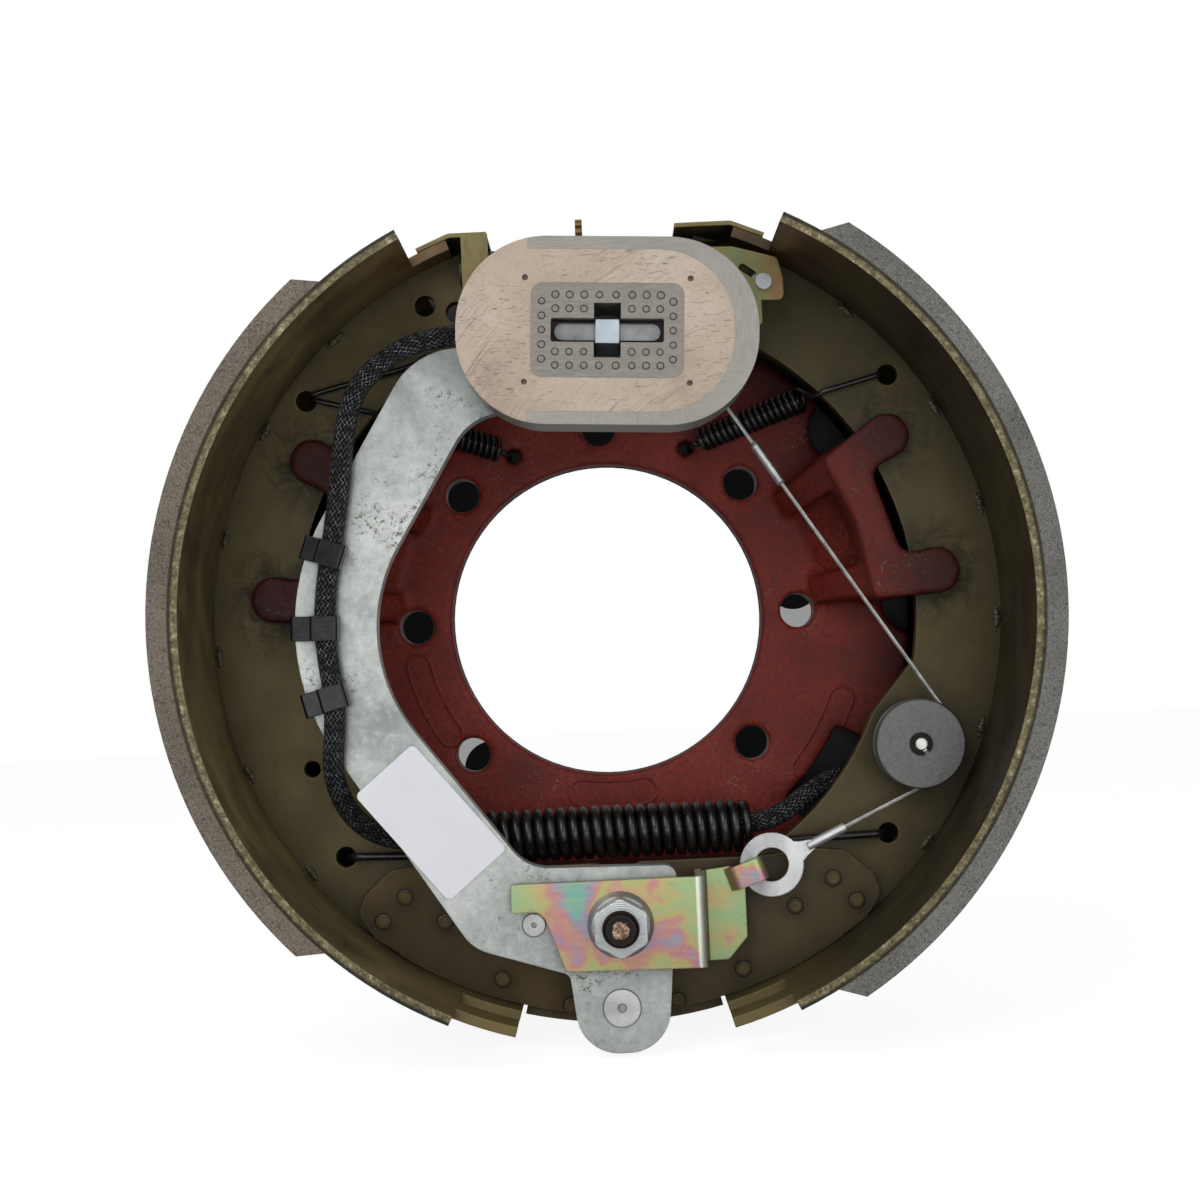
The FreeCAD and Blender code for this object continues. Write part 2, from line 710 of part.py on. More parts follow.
def loom_upper():
    """Loom from the magnet leads, over the arm's shoulder and down its face."""
    lay = LOOM_LAY
    route = (
        (-27, 30.6, 103), (-47.8, 30.6, 100.4), (-62.5, 25.6, 97.8), (-76.5, lay, 90),
        (-84.6, lay, 80.5), (-88, lay, 69), (-89.6, lay, 57.4), (-91.2, lay, 45.3),
        (-93.4, lay, 32.6), (-96.9, lay, 13.3), (-98, lay, 0.5), (-97.2, lay, -11.5),
        (-95.6, lay, -23.3), (-95.6, lay, -34), LOOM_JOIN,
    )
    return cord(route, LOOM_R)


def loom_lower():
    """Loom from the arm's face, through the long spring and out behind the pulley."""
    x, z = LOOM_EXIT
    mid, out = WEB_MID, DISH_DEPTH
    route = (
        LOOM_JOIN, (-96.9, LOOM_LAY, -47), (-96.8, LOOM_LAY + 4.4, -55), (-94.6, mid - 27.5, -63.5),
        (-89.3, mid - 21, -71.5), (-80, mid - 15.5, -76.5), (-68, mid - 9.5, -77.5),
        (-58, mid - 3.2, -77.2), (-51, mid - 0.7, -78.1), (0, mid + 0.1, COIL_Z - 0.1),
        (51, mid + 0.2, COIL_Z + 0.1), (62, mid + 4.5, -74.6), (73, mid + 10.5, -67.4),
        (86, mid + 16.5, -61.6), (97, out - 38, -67), (x - 1, out - 24, z + 0.7),
        (x, out - 13, z), (x, out + 11, z),
    )
    return cord(route, LOOM_R)


def loom_clip(x, z, angle, edge):
    """Spring steel clip: over the loom, along the arm and round its outer edge."""
    top = LOOM_LAY - LOOM_R - 0.2 - CLIP_T
    wall = LOOM_R + 1.15 + CLIP_T
    foot = ARM_FRONT - 0.1 - CLIP_T
    out = edge + 0.35 + CLIP_T
    back = ARM_BACK + 0.15 + CLIP_T
    path = [(-wall, ARM_FRONT - 0.1), (-wall, top), (wall, top), (wall, foot), (out, foot),
            (out, back), (out - 8, back)]
    section = bent(path, CLIP_T, 0.4)
    body = section.extrude(V(0, 0, CLIP_W))
    body.translate(V(0, -FACE, -CLIP_W / 2))
    body.rotate(V(0, 0, 0), V(0, 1, 0), 180 - angle)
    body.translate(V(x, 0, z))
    return body


def loom_clips():
    places = ((-94.9, 24.9, -19, 9.6), (-97.9, -0.7, -2, 11.3), (-95.7, -24.8, 14, 10.5))
    return Part.makeCompound([loom_clip(*p) for p in places])


def magnet_place(shape):
    shape.rotate(V(0, 0, 0), V(0, 1, 0), -MAGNET_TILT)
    shape.translate(V(MAGNET_X, 0, MAGNET_Z))
    return shape


def magnet_oval(grow, front, back):
    return rect(0, 0, MAGNET_L + 2 * grow, MAGNET_H + 2 * grow, front, back, MAGNET_END_R + grow)


def pad_outline(front, back):
    """Friction oval that fills the left end and leaves a C of steel round the rest."""
    half = MAGNET_H / 2 - PAD_WALL
    right = MAGNET_L / 2 - PAD_RIGHT_WALL
    left = -MAGNET_L / 2 - 10
    oval = plate([(left, -half, 1), (right, -half, half - 2), (right, half, half - 2),
                  (left, half, 1)], front, back)
    end = rect((left + PAD_LEFT) / 2, 0, PAD_LEFT - left, MAGNET_H + 4, front, back)
    return oval.fuse(end).common(magnet_oval(0, front, back)).removeSplitter()


def post_slot(front, back):
    return rect(0, 0, POST_SLOT_W, POST_SLOT_H, front, back)


def magnet_shell():
    body = magnet_oval(-1.2, MAGNET_T - 1.2, MAGNET_T)
    body = body.fuse(magnet_oval(0, 0, MAGNET_T - 1.2))
    body = body.cut(pad_outline(-1, PAD_T))
    body = body.cut(rect(0, 0, CORE_L, CORE_H, -1, MAGNET_T / 2, 4))
    return magnet_place(body.cut(post_slot(-1, MAGNET_T + 1)))


def magnet_friction():
    body = pad_outline(0, PAD_T)
    body = body.cut(rect(0, 0, CORE_L, CORE_H, -1, PAD_T + 1, 4))
    for x in (-27.8, 27.8):
        for z in (-17.6, 17.6):
            body = body.cut(disc(x, z, 1, -1, 1.5))
    return magnet_place(body)


def magnet_core():
    """Pole piece with the cross-shaped slot for the post and its clip."""
    body = rect(0, 0, CORE_L, CORE_H, 0, MAGNET_T / 2, 4)
    body = body.cut(rect(0, 0, SLOT_L, SLOT_H, -1, CLIP_FRONT + CLIP_D + 0.3, 0.8))
    return magnet_place(body.cut(post_slot(-1, MAGNET_T)))


def magnet_post():
    """Square post riveted in the arm, with a cross slot for the clip."""
    body = rect(0, 0, POST_W, POST_W, POST_TIP, ARM_BACK)
    body = body.fuse(disc(0, 0, POST_W * 0.7, ARM_BACK, ARM_BACK + 2))
    slot = rect(0, 0, POST_W + 2, CLIP_H + 0.2, CLIP_FRONT - 0.1, CLIP_FRONT + CLIP_D + 0.1)
    return magnet_place(body.cut(slot))


def magnet_clip():
    body = rect(0, 0, CLIP_L, CLIP_H, CLIP_FRONT, CLIP_FRONT + CLIP_D, CLIP_H / 2 - 0.05)
    return magnet_place(body)


def magnet_spring():
    """Outer shape of the conical spring behind the magnet."""
    wide, narrow = 16.5, 12.5
    wire = 1.5
    low, high = MAGNET_T + 0.1, ARM_FRONT - 0.1
    section = [(wide - wire, low), (wide, low), (narrow, high), (narrow - wire, high)]
    return spun(section, MAGNET_X, MAGNET_Z)


def magnet_leads():
    wires = []
    for shift in (-1.7, 1.7):
        route = ((-26.4, 30.6, 102.8 + shift), (-20, 30, 104 + shift), (-15, 26.5, 105.5 + shift),
                 (-15.2, MAGNET_T + 0.3, 106 + shift))
        wires.append(cord(route, 1.1))
    return Part.makeCompound(wires)


# adjuster


def along_x(radius, x0, x1):
    return Part.makeCylinder(radius, x1 - x0, V(x0, at(WEB_MID), AXIS_Z), V(1, 0, 0))


def fork_slot(x0, x1):
    return Part.makeBox(x1 - x0, FORK_SLOT, 4 * FORK_R,
                        V(x0, at(WEB_MID - FORK_SLOT / 2), AXIS_Z - 2 * FORK_R))


def adjuster_sleeve():
    """Left half: a fork on the shoe web and the threaded tube."""
    grip = TIP_X + 10
    body = along_x(FORK_R, -grip, -TIP_X + 8).fuse(along_x(SLEEVE_R, -TIP_X + 8, -8))
    body = body.cut(along_x(SCREW_R + RUNNING, -28, -7))
    return body.cut(fork_slot(-grip - 1, -TIP_X + 0.3))


def adjuster_socket():
    """Right half: a plain socket for the screw and a long fork on the shoe web."""
    grip = TIP_X + 12
    body = along_x(SLEEVE_R, 2, TIP_X - 8).fuse(along_x(FORK_R, TIP_X - 8, grip))
    body = body.cut(along_x(SCREW_R + RUNNING, 1, 22))
    return body.cut(fork_slot(TIP_X - 0.3, grip + 1))


def star_screw():
    """Adjusting screw with its toothed wheel."""
    x0, x1 = WHEEL_X - WHEEL_T / 2, WHEEL_X + WHEEL_T / 2
    wheel = along_x(WHEEL_R, x0, x1)
    for i in range(TEETH):
        gap = Part.makeBox(WHEEL_T + 2, 2.4, 5, V(x0 - 1, -1.2, WHEEL_R - 2.2))
        gap.translate(V(0, at(WEB_MID), AXIS_Z))
        gap.rotate(V(0, at(WEB_MID), AXIS_Z), V(1, 0, 0), 360.0 * i / TEETH)
        wheel = wheel.cut(gap)
    return wheel.fuse(along_x(SCREW_R, -26, 20)).removeSplitter()


def adjuster_lever():
    """Flat lever from its pin on the right shoe to the front of the star wheel."""
    corners = [
        (-9, 133.5, 2), (30, 130.6, 8), (51, 130, 3), (66.8, 125.4, 2), (68.6, 118), (68.4, 110, 2),
        (60.5, 110.4), (60.5, 101.2, 2), (54, 101.2, 2), (51, 108, 3), (31, 108, 3),
        (30.6, 99.6, 2), (24.4, 99.6, 2), (19, 121, 8), (-9, 124.5, 2),
    ]
    body = plate(corners, LEVER_FRONT, LEVER_FRONT + LEVER_T)
    x, z = LEVER_PIN
    low, high = LEVER_FRONT - 1, LEVER_FRONT + LEVER_T + 1
    body = body.cut(disc(x, z, LEVER_PIN_R + RUNNING, low, high))
    slot = rect(x - 5.5, z + 4.2, 7, 2.6, low, high, 1.2)
    slot.rotate(V(x - 5.5, 0, z + 4.2), V(0, 1, 0), 36)
    body = body.cut(slot)
    for hx, hz in (CABLE_HOLE, LEVER_HOOK):
        body = body.cut(disc(hx, hz, 1.3, low, high))
    return body


def lever_pin():
    x, z = LEVER_PIN
    shank = disc(x, z, LEVER_PIN_R, LEVER_FRONT - 0.1, WEB_BACK)
    head = disc(x, z, LEVER_HEAD_R, LEVER_FRONT - 1.6, LEVER_FRONT - 0.1)
    collar = disc(x, z, 4.5, LEVER_FRONT + LEVER_T + 0.1, WEB_FRONT)
    tail = disc(x, z, 4.0, WEB_BACK, WEB_BACK + 1.5)
    return shank.fuse(head).fuse(collar).fuse(tail)


# pulley and cable


def cable_pulley():
    """Grooved guide wheel."""
    front = CABLE_D - PULLEY_W / 2
    back = front + PULLEY_W
    bore = PULLEY_PIN_R + RUNNING
    half = PULLEY_R - GROOVE_R + CABLE_R + 0.25
    section = [
        (bore, front), (PULLEY_R - 0.6, front), (PULLEY_R, front + 0.6),
        (PULLEY_R, CABLE_D - half), (GROOVE_R - CABLE_R - 0.1, CABLE_D - CABLE_R),
        (GROOVE_R - CABLE_R - 0.1, CABLE_D + CABLE_R), (PULLEY_R, CABLE_D + half),
        (PULLEY_R, back - 0.6), (PULLEY_R - 0.6, back), (bore, back),
    ]
    return spun(section, *PULLEY)


def pulley_pin():
    front = CABLE_D - PULLEY_W / 2
    section = [
        (0, front - 1.6), (1.9, front - 1.6), (2.2, front - 1.3), (2.2, front), (PULLEY_PIN_R, front),
        (PULLEY_PIN_R, front + PULLEY_W + 0.1), (6, front + PULLEY_W + 0.1), (6, WEB_FRONT),
        (PULLEY_PIN_R, WEB_FRONT), (PULLEY_PIN_R, WEB_BACK), (5.5, WEB_BACK),
        (5.0, WEB_BACK + 2), (0, WEB_BACK + 2),
    ]
    return spun(section, *PULLEY)


def pulley_ring():
    """Open snap ring on the pin's neck."""
    front = CABLE_D - PULLEY_W / 2 - 0.9
    ring = disc(0, 0, 4.1, front, front + 0.8).cut(disc(0, 0, 2.25, front - 1, front + 2))
    ring = ring.cut(rect(3.5, 0, 5, 1.6, front - 1, front + 2))
    ring.rotate(V(0, 0, 0), V(0, 1, 0), 60)
    ring.translate(V(PULLEY[0], 0, PULLEY[1]))
    return ring


def tangent_point(x, z, side):
    """Where the line from a point touches the cable circle of the pulley."""
    dx, dz = x - PULLEY[0], z - PULLEY[1]
    reach = math.hypot(dx, dz)
    turn = math.atan2(dz, dx) + side * math.acos(GROOVE_R / reach)
    return PULLEY[0] + GROOVE_R * math.cos(turn), PULLEY[1] + GROOVE_R * math.sin(turn)


def cable_ends():
    """Touch points on the pulley and the end of the cable in the eye's crimp."""
    upper = tangent_point(CABLE_HOLE[0], CABLE_HOLE[1], -1)
    lower = tangent_point(EYE[0], EYE[1], 1)
    return upper, lower


def toward(start, end, distance):
    reach = math.hypot(end[0] - start[0], end[1] - start[1])
    f = distance / reach
    return start[0] + (end[0] - start[0]) * f, start[1] + (end[1] - start[1]) * f


def brake_cable():
    """Steel cable from the lever, round the pulley, to the crimp of its eye."""
    upper, lower = cable_ends()
    end = toward(EYE, lower, EYE_R + 3.4)
    hook = (CABLE_HOLE[0], LEVER_FRONT - 1.2, CABLE_HOLE[1])
    knee = (CABLE_HOLE[0], CABLE_D, CABLE_HOLE[1])
    pieces = bend_points((hook, knee, (upper[0], CABLE_D, upper[1])))
    a = V(upper[0], at(CABLE_D), upper[1])
    b = V(lower[0], at(CABLE_D), lower[1])
    hub = V(PULLEY[0], at(CABLE_D), PULLEY[1])
    turn = math.degrees((a - hub).getAngle(b - hub))
    pieces.append(("arc", a, hub, V(0, 1, 0), turn))
    pieces.append(("run", b, V(end[0], at(EYE_D + 0.03), end[1])))
    return bar(pieces, CABLE_R)


def cable_sleeve():
    """Crimped sleeve where the cable joins its end rod."""
    upper, lower = cable_ends()
    low = toward(CABLE_HOLE, upper, 51.5)
    high = toward(CABLE_HOLE, upper, 51.5 + SLEEVE_L)
    return rod((low[0], CABLE_D, low[1]), (high[0], CABLE_D, high[1]), 1.5, CABLE_R + 0.02)


def cable_eyelet():
    """Flat ring with a crimped neck."""
    upper, lower = cable_ends()
    ring = disc(EYE[0], EYE[1], EYE_R, EYE_D - EYE_T / 2, EYE_D + EYE_T / 2)
    end = toward(EYE, lower, EYE_R + 18)
    reach = math.hypot(lower[0] - EYE[0], lower[1] - EYE[1])
    rise = (CABLE_D - EYE_D) / (reach - EYE_R - 3)
    end_d = EYE_D + rise * 15
    first = toward(EYE, lower, EYE_R + 3)
    sides = [(EYE_R - 2, 4.6), (EYE_R + 1.2, 2.9, 3), (EYE_R + 5, CRIMP_R)]
    outline = sides + [(side[0], -side[1], *side[2:]) for side in reversed(sides)]
    neck = plate(outline, EYE_D - EYE_T / 2, EYE_D + EYE_T / 2)
    neck.rotate(V(0, 0, 0), V(0, 1, 0), math.degrees(math.atan2(EYE[1] - lower[1], lower[0] - EYE[0])))
    neck.translate(V(EYE[0], 0, EYE[1]))
    crimp = rod((first[0], EYE_D, first[1]), (end[0], end_d, end[1]), CRIMP_R, CABLE_R + 0.02)
    bore = rod((first[0], EYE_D, first[1]), (end[0], end_d, end[1]), CABLE_R + 0.02)
    body = ring.fuse(neck.cut(bore)).fuse(crimp)
    return body.cut(disc(EYE[0], EYE[1], EYE_HOLE_R, EYE_D - 3, EYE_D + 3))


# springs, as hollow barrels of their coil's outer size with hooked ends


def return_spring():
    """Long spring between the lower ends of the two shoes, round the loom."""
    mean = COIL_R - COIL_WIRE / 2
    barrel = rod((-COIL_HALF, WEB_MID, COIL_Z), (COIL_HALF, WEB_MID, COIL_Z), COIL_R,
                 COIL_R - COIL_WIRE)
    start_z = COIL_Z - mean * 0.72
    front = WEB_FRONT - COIL_WIRE / 2 - 0.3
    x = COIL_HOOK[0] - COIL_HOLE_R + COIL_WIRE / 2 + 1.2
    body = barrel
    for side in (-1, 1):
        route = ((side * (COIL_HALF - 2), front, start_z), (side * x, front, COIL_HOOK[1]),
                 (side * x, front + 5.6, COIL_HOOK[1]))
        body = body.fuse(cord(route, COIL_WIRE / 2))
    return body


def pull_spring(coil_start, coil_end, route_start, route_end):
    """Thin barrel spring with a wire at each end."""
    body = rod(coil_start, coil_end, PULL_R, PULL_R - PULL_WIRE)
    for route in (route_start, route_end):
        body = body.fuse(cord(route, PULL_WIRE / 2))
    return body


def retractor():
    """Spring from the mounting plate to a shoe web, right side."""
    seat = SPRING_HOLE_R - PULL_WIRE / 2 - 0.1
    hx, hz = SPRING_HOLE[0] + seat, SPRING_HOLE[1]
    start, end = (38, MOUNT_FRONT - 7.5, 65.6), (76, WEB_MID + 4.5, 77.2)
    front = WEB_FRONT - PULL_WIRE / 2 - 0.1
    px = PULL_HOOK[0] - PULL_HOLE_R + PULL_WIRE / 2 + 0.5
    wall = PULL_R - PULL_WIRE / 2
    first = ((39.5, start[1] - 1 - wall, 66), (hx, start[1] + 0.5, hz), (hx, PLATE_BACK - 3, hz))
    last = ((73.5, end[1] + 1.3 - wall, 76.4), (78.2, front, 77.5), (px, front, PULL_HOOK[1]),
            (px, front + 3.2, PULL_HOOK[1]))
    return pull_spring(start, end, first, last)


def lever_spring():
    """Return spring of the adjuster lever, hooked into the left shoe web."""
    front = WEB_FRONT - PULL_WIRE / 2 - 0.1
    wall = PULL_R - PULL_WIRE / 2
    px = -(PULL_HOOK[0] - PULL_HOLE_R + PULL_WIRE / 2 + 1.6)
    start, end = (-62, front - 3.4, 93.5), (-12, front - 4.9, 99.6)
    first = ((-58, start[1] + 2, 93.9 + wall * 0.86), (-80, front, 92), (px, front, PULL_HOOK[1] + 1.9),
             (px, front + 3.2, PULL_HOOK[1] + 1.9))
    back = LEVER_FRONT + LEVER_T
    last = ((-15, end[1] + 0.3, 99.3 + wall), (10, end[1] - 1.5, 103.6),
            (LEVER_HOOK[0], back + 2.5, LEVER_HOOK[1]),
            (LEVER_HOOK[0], LEVER_FRONT - 1.5, LEVER_HOOK[1]))
    return pull_spring(start, end, first, last)


def main():
    os.makedirs("parts", exist_ok=True)
    save(backing_plate(), "backing_plate")
    save(dust_shield(), "dust_shield")
    save(grommet(), "grommet")
    save(anchor_post(), "anchor_post")
    save(anchor_nut(), "anchor_nut")
    save(anchor_bracket(), "anchor_bracket")
    save(shoe_table(), "secondary_table")
    save(mirrored(shoe_table()), "primary_table")
    save(shoe_web(LEVER_PIN_R + FIT), "secondary_web")
    save(mirrored(shoe_web(SPARE_HOLE_R - 0.1)), "primary_web")
    save(shoe_lining(SECOND_LINING), "secondary_lining")
    save(mirrored(shoe_lining(PRIMARY_LINING)), "primary_lining")
    save(shoe_doubler(), "secondary_doubler")
    save(mirrored(shoe_doubler()), "primary_doubler")
    save(right_guide(), "secondary_guide")
    save(left_guide(), "primary_guide")
    save(actuating_arm(), "actuating_arm")
    save(arm_rivets(), "arm_rivets")
    save(label(), "label")
    save(loom_clips(), "loom_clips")
    save(loom_upper(), "loom_upper")
    save(loom_lower(), "loom_lower")
    save(magnet_shell(), "magnet_shell")
    save(magnet_friction(), "magnet_friction")
    save(magnet_core(), "magnet_core")
    save(magnet_post(), "magnet_post")
    save(magnet_clip(), "magnet_clip")
    save(magnet_spring(), "magnet_spring")
    save(magnet_leads(), "magnet_leads")
    save(adjuster_sleeve(), "adjuster_sleeve")
    save(adjuster_socket(), "adjuster_socket")
    save(star_screw(), "star_screw")
    save(adjuster_lever(), "adjuster_lever")
    save(lever_pin(), "lever_pin")
    save(cable_pulley(), "cable_pulley")
    save(pulley_pin(), "pulley_pin")
    save(pulley_ring(), "pulley_ring")
    save(brake_cable(), "brake_cable")
    save(cable_sleeve(), "cable_sleeve")
    save(cable_eyelet(), "cable_eyelet")
    save(return_spring(), "return_spring")
    save(retractor(), "retractor_right")
    save(mirrored(retractor()), "retractor_left")
    save(lever_spring(), "lever_spring")


main()
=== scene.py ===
import math
import random

import bpy
from mathutils import Matrix, Vector


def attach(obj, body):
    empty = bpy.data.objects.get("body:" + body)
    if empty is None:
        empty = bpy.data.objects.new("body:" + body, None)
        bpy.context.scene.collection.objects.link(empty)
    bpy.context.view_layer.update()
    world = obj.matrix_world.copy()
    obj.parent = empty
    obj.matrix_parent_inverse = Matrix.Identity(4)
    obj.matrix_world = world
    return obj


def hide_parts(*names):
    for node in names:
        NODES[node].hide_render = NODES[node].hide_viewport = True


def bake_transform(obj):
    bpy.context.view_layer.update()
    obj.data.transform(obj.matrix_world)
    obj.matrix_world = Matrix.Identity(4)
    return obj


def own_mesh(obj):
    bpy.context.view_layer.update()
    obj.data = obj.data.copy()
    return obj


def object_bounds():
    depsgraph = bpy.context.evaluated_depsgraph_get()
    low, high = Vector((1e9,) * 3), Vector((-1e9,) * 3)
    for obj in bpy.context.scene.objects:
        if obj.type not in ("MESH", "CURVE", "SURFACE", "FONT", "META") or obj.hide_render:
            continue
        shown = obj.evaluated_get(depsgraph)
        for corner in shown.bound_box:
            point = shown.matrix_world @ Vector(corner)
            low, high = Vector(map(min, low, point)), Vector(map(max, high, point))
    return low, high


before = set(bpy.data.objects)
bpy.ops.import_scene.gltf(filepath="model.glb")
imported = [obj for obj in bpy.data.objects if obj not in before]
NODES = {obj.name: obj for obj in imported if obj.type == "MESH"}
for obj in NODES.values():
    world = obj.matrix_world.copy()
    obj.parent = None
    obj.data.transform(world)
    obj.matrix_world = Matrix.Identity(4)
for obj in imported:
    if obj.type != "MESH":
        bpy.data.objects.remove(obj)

CAD_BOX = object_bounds()
random.seed(7)
TURN = 2 * math.pi

# places in millimetres, as (x, z), and a depth behind the shoes' front edges
FACE_DEPTH = 108.5
ANCHOR = (0, -107.3)
MAGNET = (4.6, 94.3)
PULLEY = (109.6, -50.8)
CABLE_EYE = (54.6, -91.2)
LEVER_HOLE = (27.5, 103.0)
ARM_RIVETS = ((-30.0, -106.5), (-0.8, -136.4))
BRACKET_BEND_HIGHLIGHT = 27.9
FINGER_ENDS = [(s * 120.2 * math.cos(math.radians(a)), 120.2 * math.sin(math.radians(a)))
               for s in (1, -1) for a in (30.3, 5.4)]
WELD_MARKS = ((77.4, -98.2), (63.2, -107.6), (85.6, -106.6), (43.4, -129.2), (19.1, -139.6))


def at(x, depth, z):
    """Point in metres from millimetres and a depth behind the shoes' front edges."""
    return Vector((x, depth - FACE_DEPTH, z)) / 1000


def srgb(r, g, b):
    """Linear colour of a display tone of 0 to 255."""
    out = []
    for c in (r / 255, g / 255, b / 255):
        out.append(c / 12.92 if c < 0.04045 else ((c + 0.055) / 1.055) ** 2.4)
    return (*out, 1)


def scaled(tone, factor):
    """A display tone made darker or lighter."""
    return tuple(min(255, int(c * factor)) for c in tone)


def ring(sides, radius=1.0):
    """Points on a circle."""
    return [(radius * math.cos(TURN * i / sides), radius * math.sin(TURN * i / sides))
            for i in range(sides)]


# camera, floor and light


def add_object(name, data):
    obj = bpy.data.objects.new(name, data)
    bpy.context.scene.collection.objects.link(obj)
    return obj


def make_camera():
    data = bpy.data.cameras.new("camera")
    data.lens = 57.6
    data.sensor_width = 36
    cam = add_object("camera", data)
    place = Vector((0.0007, -0.7485, -0.0178))
    ahead = (Vector((-0.0024, 0, 0.0077)) - place).normalized()
    right = ahead.cross(Vector((0.0454, 0, 0.999))).normalized()
    up = right.cross(ahead)
    turn = Matrix((right, up, -ahead)).transposed().to_4x4()
    cam.matrix_world = Matrix.Translation(place) @ turn
    bpy.context.scene.camera = cam


def add_light(name, place, aim, size, power):
    data = bpy.data.lights.new(name, "AREA")
    data.shape = "RECTANGLE"
    data.size, data.size_y = size
    data.energy = power
    obj = add_object(name, data)
    obj.location = place
    obj.rotation_mode = "QUATERNION"
    obj.rotation_quaternion = (Vector(aim) - Vector(place)).to_track_quat("-Z", "Y")


def new_tree(owner):
    owner.use_nodes = True
    owner.node_tree.nodes.clear()
    return owner.node_tree


def put(tree, socket, value):
    """Links or sets a socket; a tone of three display values is made linear."""
    if isinstance(value, bpy.types.NodeSocket):
        tree.links.new(value, socket)
    elif isinstance(value, tuple) and len(value) == 3:
        socket.default_value = srgb(*value)
    else:
        socket.default_value = value


def wired(tree, kind, *values, named=(), **settings):
    """Outputs of a new node; values go to its first inputs, named ones to inputs by name."""
    made = tree.nodes.new(kind)
    for key, value in settings.items():
        setattr(made, key, value)
    for key, value in [*enumerate(values), *dict(named).items()]:
        put(tree, made.inputs[key], value)
    return made.outputs


def make_world():
    """Even light; white to the camera and faint in reflections."""
    world = bpy.data.worlds.new("studio")
    bpy.context.scene.world = world
    tree = new_tree(world)
    ray = wired(tree, "ShaderNodeLightPath")
    glossy = wired(tree, "ShaderNodeMath", ray["Is Glossy Ray"], 0.18, operation="MULTIPLY")
    through = wired(tree, "ShaderNodeMath", ray["Is Camera Ray"], ray["Is Transmission Ray"],
                    operation="MAXIMUM")
    seen = wired(tree, "ShaderNodeMath", through[0], glossy[0], operation="MAXIMUM")
    soft = wired(tree, "ShaderNodeBackground", (0.97, 0.98, 1, 1), 0.25)
    white = wired(tree, "ShaderNodeBackground", (1, 1, 1, 1), 1.0)
    mix = wired(tree, "ShaderNodeMixShader", seen[0], soft[0], white[0])
    wired(tree, "ShaderNodeOutputWorld", mix[0])


def make_floor():
    """Pale floor that reads white to the camera and still takes a faint shadow."""
    low = CAD_BOX[0].z - 0.0003
    verts = [(x, y, low) for x, y in ring(64, 3.2)]
    mesh = bpy.data.meshes.new("floor")
    mesh.from_pydata(verts, [], [list(range(len(verts)))])
    floor = add_object("floor", mesh)
    mat = bpy.data.materials.new("floor")
    tree = new_tree(mat)
    plain = wired(tree, "ShaderNodeBsdfDiffuse", (0.8, 0.8, 0.8, 1))
    pale = wired(tree, "ShaderNodeBsdfDiffuse", (0.3, 0.3, 0.3, 1))
    glow = wired(tree, "ShaderNodeEmission", (1, 1, 1, 1), 0.9)
    both = wired(tree, "ShaderNodeAddShader", pale[0], glow[0])
    ray = wired(tree, "ShaderNodeLightPath")
    mix = wired(tree, "ShaderNodeMixShader", ray["Is Camera Ray"], plain[0], both[0])
    wired(tree, "ShaderNodeOutputMaterial", mix[0])
    mesh.materials.append(mat)


def make_card():
    """Painted shade: glowing spots close behind the shield, standing for the shade in which the
    brake's back lies.

    They are seen from the front only, through the bolt holes; two glow grey, as painted light let
    in through them.
    """
    outline = ring(40, 10.5)
    shifts = {0: (0, 11.2), 223: (6, -6)}
    spots = []
    for a in (0, 43, 90, 137, 180, 223, -43):
        x, z = 73 * math.cos(math.radians(a)), 73 * math.sin(math.radians(a))
        dx, dz = shifts.get(a, (0, 0))
        spots.append((x + dx, z + dz, 0.6, 0))
        if a in shifts:
            spots.append((x, z, 1.4, 1))
    verts, faces = [], []
    for x, z, y, kind in spots:
        faces.append(list(range(len(verts), len(verts) + len(outline))))
        verts += [Vector((x + dx, y, z + dz)) / 1000 for dx, dz in outline]
    mesh = bpy.data.meshes.new("card")
    mesh.from_pydata(verts, [], faces)
    card = add_object("card", mesh)
    for poly, spot in zip(mesh.polygons, spots):
        poly.material_index = spot[3]
    for name, level in (("card_dark", 0.004), ("card_grey", 0.3)):
        mat = bpy.data.materials.new(name)
        tree = new_tree(mat)
        face = wired(tree, "ShaderNodeNewGeometry")["Backfacing"]
        tone = wired(tree, "ShaderNodeEmission", (1, 1, 1, 1), level)
        clear = wired(tree, "ShaderNodeBsdfTransparent")
        mix = wired(tree, "ShaderNodeMixShader", face, tone[0], clear[0])
        wired(tree, "ShaderNodeOutputMaterial", mix[0])
        mesh.materials.append(mat)
    card.visible_shadow = False
    card.visible_diffuse = False
    card.visible_glossy = False


# materials


